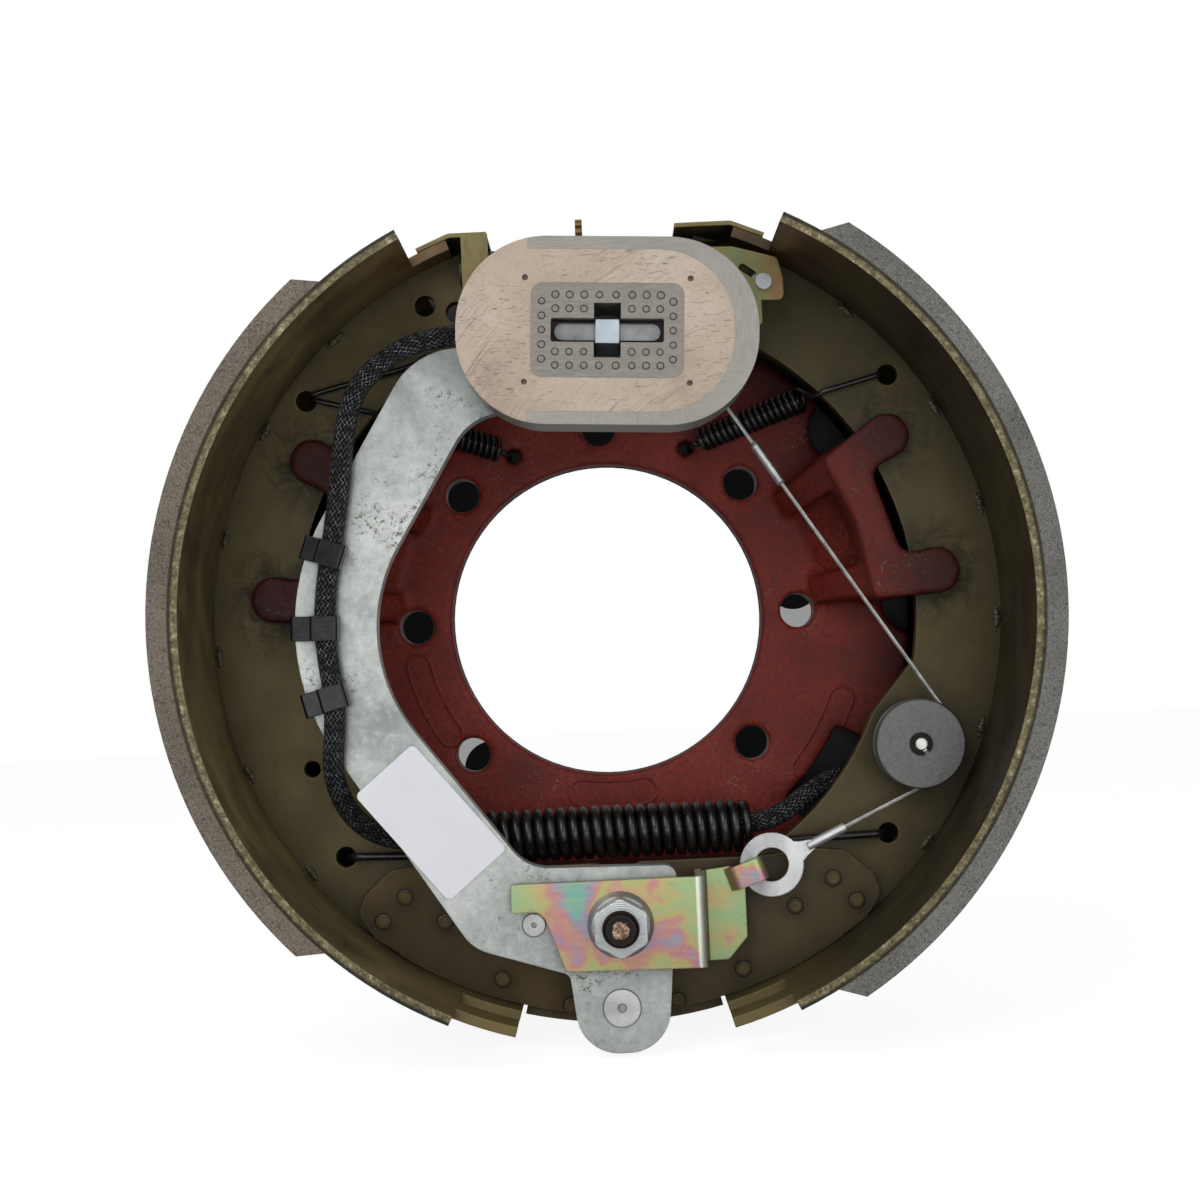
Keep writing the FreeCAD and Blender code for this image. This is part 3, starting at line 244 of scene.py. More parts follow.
class Finish:
    """A node material in object coordinates, in metres; tones are display values to 255."""

    def __init__(self, name):
        self.mat = bpy.data.materials.new(name)
        self.tree = new_tree(self.mat)
        self.coord = self.node("ShaderNodeTexCoord")["Object"]
        self.color = None
        self.normal = None
        self.heights = None

    def node(self, kind, *values, **settings):
        return wired(self.tree, kind, *values, **settings)

    def math(self, op, a, b=0.0, clamp=False):
        return self.node("ShaderNodeMath", a, b, operation=op, use_clamp=clamp)[0]

    def times(self, a, b):
        return self.math("MULTIPLY", a, b)

    def plus(self, a, b):
        return self.math("ADD", a, b)

    def minus(self, a, b):
        return self.math("SUBTRACT", a, b)

    def size(self, a):
        return self.math("ABSOLUTE", a)

    def mapped(self, scale=(1, 1, 1), turn=(0, 0, 0), place=(0, 0, 0)):
        turn = Vector([math.radians(a) for a in turn])
        return self.node("ShaderNodeMapping", self.coord, Vector(place), turn, Vector(scale))[0]

    def noise(self, scale, detail=3.0, rough=0.55, vector=None, warp=0.0):
        named = {"Vector": vector or self.coord, "Scale": scale, "Detail": detail,
                 "Roughness": rough, "Distortion": warp}
        return self.node("ShaderNodeTexNoise", named=named)["Fac"]

    def cells(self, scale, out="Distance"):
        named = {"Vector": self.coord, "Scale": scale}
        return self.node("ShaderNodeTexVoronoi", named=named)[out]

    def ramp(self, fac, *stops):
        made = self.tree.nodes.new("ShaderNodeValToRGB")
        put(self.tree, made.inputs[0], fac)
        line = made.color_ramp.elements
        while len(line) < len(stops):
            line.new(0.5)
        for item, (place, value) in zip(line, stops):
            item.position = place
            item.color = srgb(*value) if isinstance(value, tuple) else (value, value, value, 1)
        return made.outputs[0]

    def mix(self, fac, a, b):
        named = {0: fac, 6: a, 7: b}
        return self.node("ShaderNodeMix", named=named, data_type="RGBA")[2]

    def over(self, mask, tone):
        """Lays a tone over the colour so far."""
        self.color = self.mix(mask, self.color, tone)

    def split(self, vector=None):
        return self.node("ShaderNodeSeparateXYZ", vector or self.coord)

    def joined(self, *parts):
        return self.node("ShaderNodeCombineXYZ", *parts)[0]

    def round_about(self, x, z):
        """Distance in metres from an axis along Y."""
        parts = self.split()
        dx = self.minus(parts[0], x / 1000)
        dz = self.minus(parts[2], z / 1000)
        return self.math("SQRT", self.plus(self.times(dx, dx), self.times(dz, dz)))

    def share(self, x, z, reach):
        """That distance, as a share of a reach in millimetres."""
        return self.times(self.round_about(x, z), 1000 / reach)

    def relief(self, fac, height):
        """Adds a bump of a height in millimetres."""
        part = self.times(fac, height)
        self.heights = self.plus(self.heights, part) if self.heights else part

    def edges(self, radius, strength=4.0):
        """Rounds the edges to the eye; gives a mask of where they are."""
        self.normal = self.node("ShaderNodeBevel", radius / 1000, samples=4)[0]
        face = self.node("ShaderNodeNewGeometry")["Normal"]
        dot = self.node("ShaderNodeVectorMath", self.normal, face, operation="DOT_PRODUCT")
        off = self.minus(1.0, dot["Value"])
        return self.math("MULTIPLY", off, strength, clamp=True)

    def corners(self, reach):
        """Mask of nooks: 1 in the open, 0 in tight corners; the finishes darken by it as painted
        shade.
        """
        named = {"Distance": reach / 1000}
        return self.node("ShaderNodeAmbientOcclusion", named=named, samples=4)["AO"]

    def done(self, rough, metal=0.0, spec=0.5):
        """Wires up the shader and gives the material."""
        named = {"Base Color": self.color, "Roughness": rough, "Metallic": metal,
                 "Specular IOR Level": spec}
        if self.heights:
            bump = {"Strength": 1.0, "Distance": 0.001, "Height": self.heights}
            if self.normal:
                bump["Normal"] = self.normal
            self.normal = self.node("ShaderNodeBump", named=bump)[0]
        if self.normal:
            named["Normal"] = self.normal
        shader = self.node("ShaderNodeBsdfPrincipled", named=named)
        self.node("ShaderNodeOutputMaterial", shader[0])
        return self.mat


def cast_loop(m, radius, middle, reach, wide):
    """Mask of a thin raised line round a curved, round-ended field."""
    parts = m.split()
    turn = m.math("ARCTAN2", parts[2], parts[0])
    off = m.size(m.minus(turn, math.radians(middle)))
    along = m.minus(m.times(off, radius), reach)
    along = m.math("MAXIMUM", along, 0.0)
    far = m.share(0, 0, 1)
    across = m.minus(far, radius)
    square = m.plus(m.times(along, along), m.times(across, across))
    gap = m.size(m.minus(m.math("SQRT", square), wide))
    return m.ramp(gap, (0.25, 1.0), (0.85, 0.0))


def red_casting():
    m = Finish("red_casting")
    big = m.noise(38, 4, 0.6)
    fine = m.noise(520, 5, 0.7)
    pits = m.cells(260)
    m.color = m.ramp(big, (0.3, (104, 36, 28)), (0.5, (126, 42, 33)), (0.7, (144, 51, 40)))
    m.over(m.ramp(fine, (0.4, 0.6), (0.62, 0.0)), (58, 22, 20))
    # Painted shade in nooks and corners.
    nook_shade = m.corners(9)
    m.over(m.ramp(nook_shade, (0.35, 0.75), (0.85, 0.0)), (44, 17, 16))
    soot = m.times(m.ramp(m.noise(24, 5, 0.75, warp=0.6), (0.6, 0.0), (0.74, 0.8)),
                   m.ramp(m.noise(300, 3, 0.6), (0.4, 0.0), (0.6, 1.0)))
    m.over(soot, (34, 24, 23))
    # Painted shade towards the rim and the fingers, deep among the shoes, with some grime: darker
    # beyond about 100 mm out.
    far = m.share(0, 0, 200)
    outer_shade_and_grime = m.times(m.ramp(far, (0.45, 0.0), (0.52, 0.45), (0.575, 1.0)),
                    m.ramp(m.noise(70, 3), (0.3, 0.95), (0.7, 0.75)))
    m.over(outer_shade_and_grime, (40, 18, 16))
    rubbed = m.times(m.ramp(m.noise(800, 3, 0.7), (0.56, 0.0), (0.66, 1.0)),
                     m.ramp(m.noise(52, 4, 0.7), (0.55, 0.0), (0.7, 0.7)))
    m.over(rubbed, (148, 118, 108))
    m.relief(fine, 0.16)
    m.relief(m.noise(140, 4, 0.6), 0.3)
    m.relief(m.ramp(pits, (0.0, 0.0), (0.22, 1.0)), 0.07)
    for field in ((74.2, -157.1, 14.3, 4.5), (67.0, -90.5, 11.8, 5.0), (94.5, -30.5, 15.0, 4.6)):
        m.relief(cast_loop(m, *field), 0.3)
    return m.done(m.ramp(fine, (0.3, 0.36), (0.7, 0.66)), spec=0.2)


def black_sheet():
    m = Finish("black_sheet")
    wave = m.noise(90, 3)
    m.color = m.ramp(m.noise(30, 4, 0.6), (0.35, (12, 12, 13)), (0.7, (25, 25, 26)))
    m.over(m.ramp(m.noise(700, 2), (0.62, 0.0), (0.74, 0.3)), (58, 57, 54))
    m.over(m.edges(0.8, 1.5), (50, 49, 47))
    m.relief(wave, 0.12)
    m.relief(m.noise(600, 3), 0.02)
    return m.done(m.ramp(wave, (0.3, 0.34), (0.7, 0.5)), spec=0.3)


def rubber_black():
    m = Finish("rubber_black")
    fine = m.noise(420, 4)
    m.color = m.ramp(fine, (0.3, (20, 20, 20)), (0.7, (38, 38, 37)))
    m.edges(0.4)
    m.relief(fine, 0.05)
    return m.done(0.7, spec=0.3)


def bright_zinc(name, center, tone, rough):
    m = Finish(name)
    cloud = m.noise(22, 5, 0.6, warp=0.4)
    fine = m.noise(480, 4, 0.7)
    pale = scaled(tone, 1.12)
    m.color = m.ramp(cloud, (0.3, scaled(tone, 0.72)), (0.48, tone), (0.72, pale))
    specks = m.ramp(m.cells(520), (0.03, 0.55), (0.12, 0.0))
    specks = m.times(specks, m.ramp(m.noise(45, 4, 0.7), (0.5, 0.0), (0.62, 1.0)))
    m.over(specks, (92, 92, 88))
    drawn = m.noise(60, 4, 0.7, m.mapped((1.2, 1, 14), (0, 24, 0)))
    m.over(m.ramp(drawn, (0.6, 0.0), (0.78, 0.5)), (138, 140, 138))
    if center:
        named = {"Vector": m.joined(m.round_about(*center)), "Scale": 420, "Distortion": 1.5}
        turned = m.node("ShaderNodeTexWave", named=named, wave_type="BANDS", bands_direction="X")
        m.relief(turned["Fac"], 0.02)
    m.over(m.edges(0.5, 1.6), pale)
    # Painted shade in corners.
    m.over(m.ramp(m.corners(5), (0.3, 0.6), (0.8, 0.0)), (74, 74, 72))
    m.relief(fine, 0.035)
    m.relief(cloud, 0.12)
    return m.done(m.ramp(m.noise(110, 4), (0.3, rough[0]), (0.7, rough[1])), 0.72)


def arm_zinc():
    """The arm's plating: fine mottle, dirt in patches, greyer and darker towards the top under
    the magnet.
    """
    m = Finish("arm_zinc")
    cloud = m.noise(22, 5, 0.6, warp=0.4)
    mottle = m.noise(320, 5, 0.85)
    m.color = m.ramp(cloud, (0.3, (150, 156, 156)), (0.48, (178, 182, 178)),
                     (0.72, (200, 202, 200)))
    m.over(m.ramp(mottle, (0.38, 0.3), (0.5, 0.0)), (122, 126, 124))
    m.over(m.ramp(mottle, (0.52, 0.0), (0.66, 0.35)), (222, 224, 220))
    # Greyer and darker towards the top, under the magnet, in cloudy patches.
    height = m.times(m.split()[2], 10.0)
    tone_field = m.times(m.ramp(height, (0.3, 0.1), (0.85, 0.85)),
                   m.ramp(m.noise(34, 4, 0.6, warp=0.8), (0.35, 0.35), (0.62, 1.0)))
    m.over(tone_field, (98, 108, 106))
    dirt = m.times(m.ramp(m.noise(460, 4, 0.8), (0.53, 0.0), (0.6, 0.9)),
                   m.ramp(m.noise(42, 4, 0.7), (0.53, 0.0), (0.63, 1.0)))
    m.over(dirt, (72, 66, 54))
    smear = m.ramp(m.noise(60, 4, 0.7, m.mapped((1.2, 1, 14), (0, 24, 0))), (0.58, 0.0),
                   (0.76, 0.5))
    m.over(smear, (134, 136, 132))
    for rivet, radius in zip(ARM_RIVETS, (3.9, 6.4)):
        near = m.share(*rivet, 10)
        off = m.size(m.minus(near, radius / 10))
        m.over(m.ramp(off, (0.02, 0.9), (0.05, 0.0)), (70, 72, 70))
    m.over(m.edges(0.5, 1.8), (206, 208, 206))
    # Painted shade in corners.
    m.over(m.ramp(m.corners(7), (0.3, 0.75), (0.85, 0.0)), (62, 64, 62))
    m.relief(mottle, 0.04)
    m.relief(cloud, 0.15)
    return m.done(m.ramp(m.noise(110, 4), (0.3, 0.32), (0.7, 0.52)), 0.62)


def turned_steel(name, center, tone, spread, dark_ring=None):
    m = Finish(name)
    far = m.round_about(*center)
    rings = m.noise(2600, 3, 0.6, m.joined(far))
    rings = m.plus(m.times(rings, 0.35), m.times(m.noise(900, 3), 0.65))
    cloud = m.noise(60, 4)
    high = scaled(tone, 1.15)
    m.color = m.ramp(m.plus(m.times(rings, 0.5), m.times(cloud, 0.5)),
                     (0.35, scaled(tone, 0.78)), (0.5, tone), (0.66, high))
    if dark_ring:
        r0, r1, shade = dark_ring
        rough = m.times(m.minus(m.noise(420, 5, 0.75), 0.5), 0.0035)
        edge = m.plus(far, rough)
        grey = m.ramp(m.noise(520, 5, 0.8), (0.42, (92, 72, 58)), (0.52, tone),
                      (0.62, (214, 196, 178)))
        m.over(m.math("LESS_THAN", far, r1 / 1000), grey)
        inside = m.times(m.math("GREATER_THAN", edge, r0 / 1000),
                         m.math("LESS_THAN", far, r1 / 1000))
        m.over(inside, shade)
    m.over(m.edges(0.4, 1.5), high)
    m.relief(rings, 0.02)
    m.relief(m.noise(700, 3), 0.015)
    return m.done(m.ramp(cloud, (0.3, spread - 0.14), (0.7, spread + 0.06)), 0.8)


def yellow_zinc(name, shift=0.0, veil=0.0, bend=None):
    """Zinc passivated yellow, with the pink and teal films of such a coat; a brown veil; given a
    bend, a painted highlight along it and a painted shadow line beside it.
    """
    m = Finish(name)
    warp = m.noise(30, 3, 0.5)
    tone_field = m.noise(25, 4, 0.5, m.mapped((1.3, 1, 1), (0, 40, 0), (shift + 0.43, 0, shift)), 0.6)
    m.color = m.ramp(tone_field, (0.3, (112, 162, 148)), (0.38, (142, 172, 134)),
                     (0.46, (150, 174, 126)), (0.515, (178, 164, 110)), (0.55, (188, 126, 128)),
                     (0.59, (150, 142, 164)), (0.65, (116, 168, 152)))
    streak = m.noise(90, 4, 0.6, m.mapped((1, 1, 7), (0, 8, 0)))
    m.over(m.ramp(streak, (0.45, 0.0), (0.7, 0.4)), (176, 172, 130))
    m.over(m.ramp(m.noise(420, 4, 0.7), (0.6, 0.0), (0.75, 0.5)), (120, 104, 62))
    m.over(veil, (96, 72, 34))
    m.over(m.edges(0.7, 2.6), (206, 174, 96))
    # Painted highlight along the bend, and a painted shadow line just past it.
    if bend:
        for x, inner, outer, painted_tone in ((bend, 0.09, 0.17, (244, 248, 232)),
                                       (bend + 2.9, 0.03, 0.08, (44, 46, 30))):
            off = m.times(m.minus(m.split()[0], x / 1000), 100.0)
            m.over(m.ramp(m.size(off), (inner, 0.9), (outer, 0.0)), painted_tone)
    m.relief(m.noise(300, 3), 0.03)
    m.relief(warp, 0.2)
    return m.done(m.ramp(warp, (0.3, 0.26), (0.7, 0.4)), 0.7)


def olive_steel(name, tone, edge=(150, 143, 104), metal=0.2, dark_spots=(), marks=()):
    """Brown-olive coated sheet; darker about some spots, ringed about the weld marks."""
    m = Finish(name)
    cloud = m.noise(16, 5, 0.62, warp=0.5)
    fine = m.noise(420, 5, 0.7)
    m.color = m.ramp(cloud, (0.32, scaled(tone, 0.8)), (0.5, tone), (0.7, scaled(tone, 1.12)))
    rust = m.times(m.ramp(m.noise(40, 5, 0.7, warp=1.0), (0.58, 0.0), (0.72, 0.7)),
                   m.ramp(fine, (0.35, 0.2), (0.65, 1.0)))
    m.over(rust, (98, 74, 40))
    drip = m.ramp(m.noise(55, 4, 0.6, m.mapped((5, 1, 1), (0, 20, 0))), (0.56, 0.0), (0.74, 0.45))
    m.over(drip, (64, 60, 44))
    # Painted shade in corners.
    m.over(m.ramp(m.corners(14), (0.25, 0.85), (0.9, 0.0)), (40, 36, 26))
    bits = m.ramp(m.cells(330), (0.02, 0.5), (0.1, 0.0))
    bits = m.times(bits, m.ramp(m.noise(80, 3), (0.5, 0.0), (0.6, 1.0)))
    m.over(bits, (36, 34, 26))
    # Darker in cloudy patches about the given spots.
    for x, z in dark_spots:
        near = m.share(x, z, 100)
        dark_patch = m.times(m.ramp(near, (0.1, 0.9), (0.24, 0.0)),
                        m.ramp(m.noise(120, 5, 0.7, warp=1.5), (0.42, 0.0), (0.62, 1.0)))
        m.over(dark_patch, (34, 30, 20))
    for x, z in marks:
        near = m.share(x, z, 10)
        halo = m.times(m.ramp(near, (0.26, 0.8), (0.7, 0.0)),
                       m.ramp(m.noise(150, 4, 0.7), (0.35, 0.1), (0.6, 1.0)))
        m.over(halo, (46, 35, 20))
        m.over(m.ramp(near, (0.14, 0.3), (0.22, 0.0)), (120, 106, 66))
        m.over(m.ramp(m.size(m.minus(near, 0.27)), (0.035, 0.95), (0.07, 0.0)), (18, 14, 9))
    m.over(m.edges(0.7, 2.4), edge)
    m.relief(fine, 0.05)
    m.relief(m.noise(70, 4), 0.16)
    return m.done(m.ramp(m.noise(60, 4), (0.3, 0.38), (0.7, 0.56)), metal, 0.22)


def table_steel(name, painted_light_gain):
    """Shoe table: olive coat, brown at the top end, paler gold towards the bottom, bare at its
    front and back edges; the gain scales its tones as painted light.
    """
    m = Finish(name)

    # Painted light: the tones scaled by the gain, lighter for the left table, which the light
    # reaches better.
    def shade(r, g, b):
        return r * painted_light_gain, g * painted_light_gain, b * painted_light_gain

    cloud = m.noise(20, 5, 0.62, warp=0.6)
    fine = m.noise(420, 5, 0.7)
    m.color = m.ramp(cloud, (0.3, shade(40, 34, 24)), (0.5, shade(58, 51, 35)),
                     (0.7, shade(78, 70, 46)))
    run = m.noise(14, 4, 0.6, m.mapped((1, 6, 1)))
    m.over(m.ramp(run, (0.5, 0.0), (0.7, 0.4)), shade(84, 76, 48))
    m.over(m.ramp(m.noise(24, 4, 0.6, warp=1.0), (0.58, 0.0), (0.72, 0.7)), shade(30, 26, 18))
    parts = m.split()
    depth = parts[1]
    end = m.times(m.ramp(m.times(parts[2], 5.0), (0.56, 0.0), (0.64, 1.0)),
                  m.ramp(m.noise(60, 4, 0.7), (0.35, 0.1), (0.6, 0.8)))
    m.over(end, (104, 74, 44))
    # Paler gold towards the bottom, at the feet.
    m.over(m.ramp(m.times(parts[2], -5.0), (0.6, 0.0), (0.68, 0.75)), (116, 102, 62))
    front = m.math("LESS_THAN", depth, -0.10835)
    back = m.math("GREATER_THAN", depth, 0.01835)
    face = m.math("ADD", front, back, clamp=True)
    bare = m.ramp(m.noise(520, 5, 0.8), (0.36, (66, 57, 37)), (0.5, (106, 98, 68)),
                  (0.6, (140, 132, 98)), (0.68, (196, 190, 166)))
    joint = m.ramp(m.share(0, 0, 200), (0.7285, 0.0), (0.7305, 0.9))
    bare = m.mix(joint, bare, (26, 22, 16))
    m.over(face, bare)
    m.over(m.edges(0.5, 2.0), (140, 132, 96))
    # Painted shade in corners.
    m.over(m.ramp(m.corners(16), (0.2, 0.8), (0.8, 0.0)), (30, 26, 18))
    m.relief(fine, 0.05)
    m.relief(cloud, 0.2)
    return m.done(m.ramp(m.noise(50, 4), (0.3, 0.36), (0.7, 0.54)), 0.2, 0.3)


def lining(name, tone):
    """Moulded friction block: grey binder with pale and dark grains."""
    m = Finish(name)
    cloud = m.noise(26, 5, 0.65)
    grain = m.noise(900, 4, 0.8)
    m.color = m.ramp(cloud, (0.3, scaled(tone, 0.84)), (0.5, tone), (0.7, scaled(tone, 1.1)))
    m.over(m.ramp(m.noise(2600, 2, 0.6), (0.56, 0.0), (0.66, 0.7)), scaled(tone, 1.7))
    dark = m.ramp(m.cells(1500, out="Color"), (0.6, 0.0), (0.85, 0.6))
    m.over(dark, scaled(tone, 0.5))
    chips = m.ramp(m.cells(700), (0.05, 0.7), (0.2, 0.0))
    chips = m.times(chips, m.ramp(m.noise(210, 3), (0.5, 0.0), (0.58, 1.0)))
    m.over(chips, (176, 168, 152))
    m.edges(0.6)
    m.relief(grain, 0.14)
    m.relief(m.noise(330, 4, 0.7), 0.14)
    m.relief(chips, -0.1)
    return m.done(m.ramp(grain, (0.3, 0.72), (0.7, 0.9)), spec=0.35)


def black_spring():
    m = Finish("black_spring")
    cloud = m.noise(120, 4)
    m.color = m.ramp(cloud, (0.35, (14, 13, 13)), (0.7, (34, 31, 29)))
    m.over(m.ramp(m.noise(700, 3), (0.62, 0.0), (0.76, 0.5)), (72, 66, 60))
    m.relief(m.noise(600, 4), 0.02)
    return m.done(m.ramp(cloud, (0.3, 0.2), (0.7, 0.34)), 0.25, 0.6)


def braid():
    """Plaited sleeve: over and under bands from the tube's own coordinates."""
    m = Finish("braid")
    parts = m.split(m.node("ShaderNodeTexCoord")["UV"])
    around = m.times(parts[0], 14.0)
    along = m.times(parts[1], 0.4)
    one = m.plus(around, along)
    two = m.minus(around, along)
    wave1 = m.size(m.math("SINE", m.times(one, math.pi)))
    wave2 = m.size(m.math("SINE", m.times(two, math.pi)))
    cell = m.plus(m.math("FLOOR", one), m.math("FLOOR", two))
    over = m.math("MODULO", m.size(cell), 2.0)
    height = m.mix(over, wave1, wave2)
    high = m.node("ShaderNodeRGBToBW", height)[0]
    hair = m.noise(1500, 2)
    # Colour by height of the weave: painted shade in its hollows and painted glints on its
    # crests.
    m.color = m.ramp(high, (0.1, (4, 4, 5)), (0.6, (13, 13, 14)), (0.95, (26, 27, 29)))
    painted_glint = m.times(m.ramp(high, (0.9, 0.0), (0.98, 1.0)),
                    m.ramp(m.noise(380, 3, 0.7), (0.45, 0.0), (0.62, 0.9)))
    m.over(painted_glint, (128, 130, 136))
    m.relief(high, 0.5)
    m.relief(hair, 0.05)
    return m.done(0.5, spec=0.3)


def sticker():
    m = Finish("sticker")
    fiber = m.noise(900, 4, 0.7)
    m.color = m.ramp(m.noise(30, 3), (0.3, (226, 227, 233)), (0.7, (236, 237, 241)))
    m.over(m.ramp(fiber, (0.55, 0.0), (0.75, 0.15)), (206, 206, 210))
    m.edges(0.15)
    m.relief(m.noise(28, 2), 0.25)
    m.relief(fiber, 0.008)
    return m.done(0.55, spec=0.4)


def ground_steel():
    m = Finish("ground_steel")
    strokes = m.noise(160, 5, 0.7, m.mapped((1.2, 1, 14), (0, -3, 0)))
    cross = m.noise(160, 5, 0.7, m.mapped((12, 1, 1.5), (0, 14, 0)))
    side = m.ramp(m.noise(20, 2), (0.4, 0.0), (0.6, 1.0))
    lines = m.mix(side, strokes, cross)
    m.color = m.ramp(lines, (0.25, (136, 132, 126)), (0.5, (152, 148, 141)),
                     (0.75, (168, 164, 157)))
    m.over(m.ramp(m.noise(14, 4), (0.5, 0.0), (0.7, 0.3)), (118, 114, 110))
    m.over(m.edges(0.4, 1.6), (186, 184, 180))
    m.relief(lines, 0.015)
    m.relief(m.noise(600, 3), 0.012)
    return m.done(m.ramp(lines, (0.3, 0.36), (0.7, 0.5)), 0.55)


def friction_face():
    """Dressed friction material: faint arcs of the dressing tool and short scratches."""
    m = Finish("friction_face")
    cloud = m.noise(30, 5, 0.6, warp=0.4)
    m.color = m.ramp(cloud, (0.32, (168, 150, 133)), (0.5, (185, 168, 150)),
                     (0.68, (199, 184, 167)))
    sweep = m.joined(m.round_about(64, 8), m.times(m.split()[0], 0.06))
    arcs = m.noise(1100, 4, 0.65, sweep)
    where = m.ramp(m.noise(26, 3, 0.6), (0.42, 0.0), (0.6, 1.0))
    m.over(m.times(m.ramp(arcs, (0.54, 0.0), (0.68, 0.75)), where), (116, 100, 88))
    marks = None
    for turn, place, stretch in ((12, 0.0, 8), (-38, 0.3, 9), (56, 0.7, 9)):
        line = m.noise(260, 3, 0.6, m.mapped((1, 1, stretch), (0, turn, 0), (place, 0, place)))
        line = m.ramp(line, (0.62, 0.0), (0.68, 1.0))
        spot = m.ramp(m.noise(40, 3, 0.6, m.mapped(place=(place, place, 0))), (0.47, 0.0),
                      (0.56, 1.0))
        line = m.times(line, spot)
        marks = m.math("MAXIMUM", marks, line) if marks else line
    m.over(m.times(marks, 0.8), (96, 82, 72))
    m.over(m.times(m.ramp(arcs, (0.3, 0.45), (0.46, 0.0)), where), (216, 203, 188))
    m.over(m.ramp(m.noise(900, 4, 0.8), (0.5, 0.0), (0.68, 0.3)), (138, 124, 112))
    # Painted shade in corners, where the face meets the shell.
    m.over(m.ramp(m.corners(3), (0.3, 0.7), (0.8, 0.0)), (82, 66, 56))
    m.edges(0.2)
    m.relief(marks, -0.05)
    m.relief(arcs, 0.02)
    m.relief(m.noise(500, 4, 0.7), 0.03)
    return m.done(m.ramp(cloud, (0.3, 0.52), (0.7, 0.66)), 0.05)


def pole(name, tone):
    m = Finish(name)
    lines = m.noise(170, 5, 0.7, m.mapped((1.2, 1, 9), (0, 6, 0)))
    m.color = m.ramp(lines, (0.3, scaled(tone, 0.9)), (0.5, tone), (0.7, scaled(tone, 1.08)))
    m.over(m.ramp(m.noise(500, 4, 0.7), (0.5, 0.0), (0.7, 0.4)), (120, 114, 108))
    m.edges(0.3)
    # Painted shade in corners.
    m.over(m.ramp(m.corners(6), (0.2, 0.9), (0.75, 0.0)), (34, 31, 28))
    m.relief(lines, 0.03)
    return m.done(0.5, 0.45)


def steel_wire(name, tone, rough=0.32):
    m = Finish(name)
    cloud = m.noise(240, 4)
    m.color = m.ramp(cloud, (0.35, scaled(tone, 0.75)), (0.7, tone))
    m.relief(m.noise(900, 3), 0.015)
    return m.done(m.ramp(cloud, (0.3, rough - 0.06), (0.7, rough + 0.12)), 0.8)


def wheel_steel():
    """Star wheel and screw: golden brown plating, with painted shade between the teeth."""
    m = Finish("wheel_steel")
    cloud = m.noise(120, 4)
    m.color = m.ramp(cloud, (0.3, (120, 92, 54)), (0.5, (168, 132, 84)), (0.7, (196, 168, 120)))
    # Painted shade between the teeth.
    m.over(m.ramp(m.corners(3), (0.3, 0.8), (0.8, 0.0)), (58, 42, 26))
    m.over(m.edges(0.3, 2.0), (214, 190, 144))
    m.relief(m.noise(500, 4), 0.03)
    return m.done(0.36, 0.7)


def clip_steel():
    m = Finish("clip_steel")
    cloud = m.noise(90, 4)
    m.color = m.ramp(cloud, (0.35, (5, 5, 6)), (0.7, (13, 14, 16)))
    m.over(m.ramp(m.noise(420, 4), (0.66, 0.0), (0.76, 0.4)), (70, 72, 76))
    m.over(m.edges(0.7, 1.6), (48, 51, 56))
    m.relief(m.noise(160, 3), 0.12)
    return m.done(m.ramp(cloud, (0.3, 0.14), (0.7, 0.26)), 0.0, 0.3)


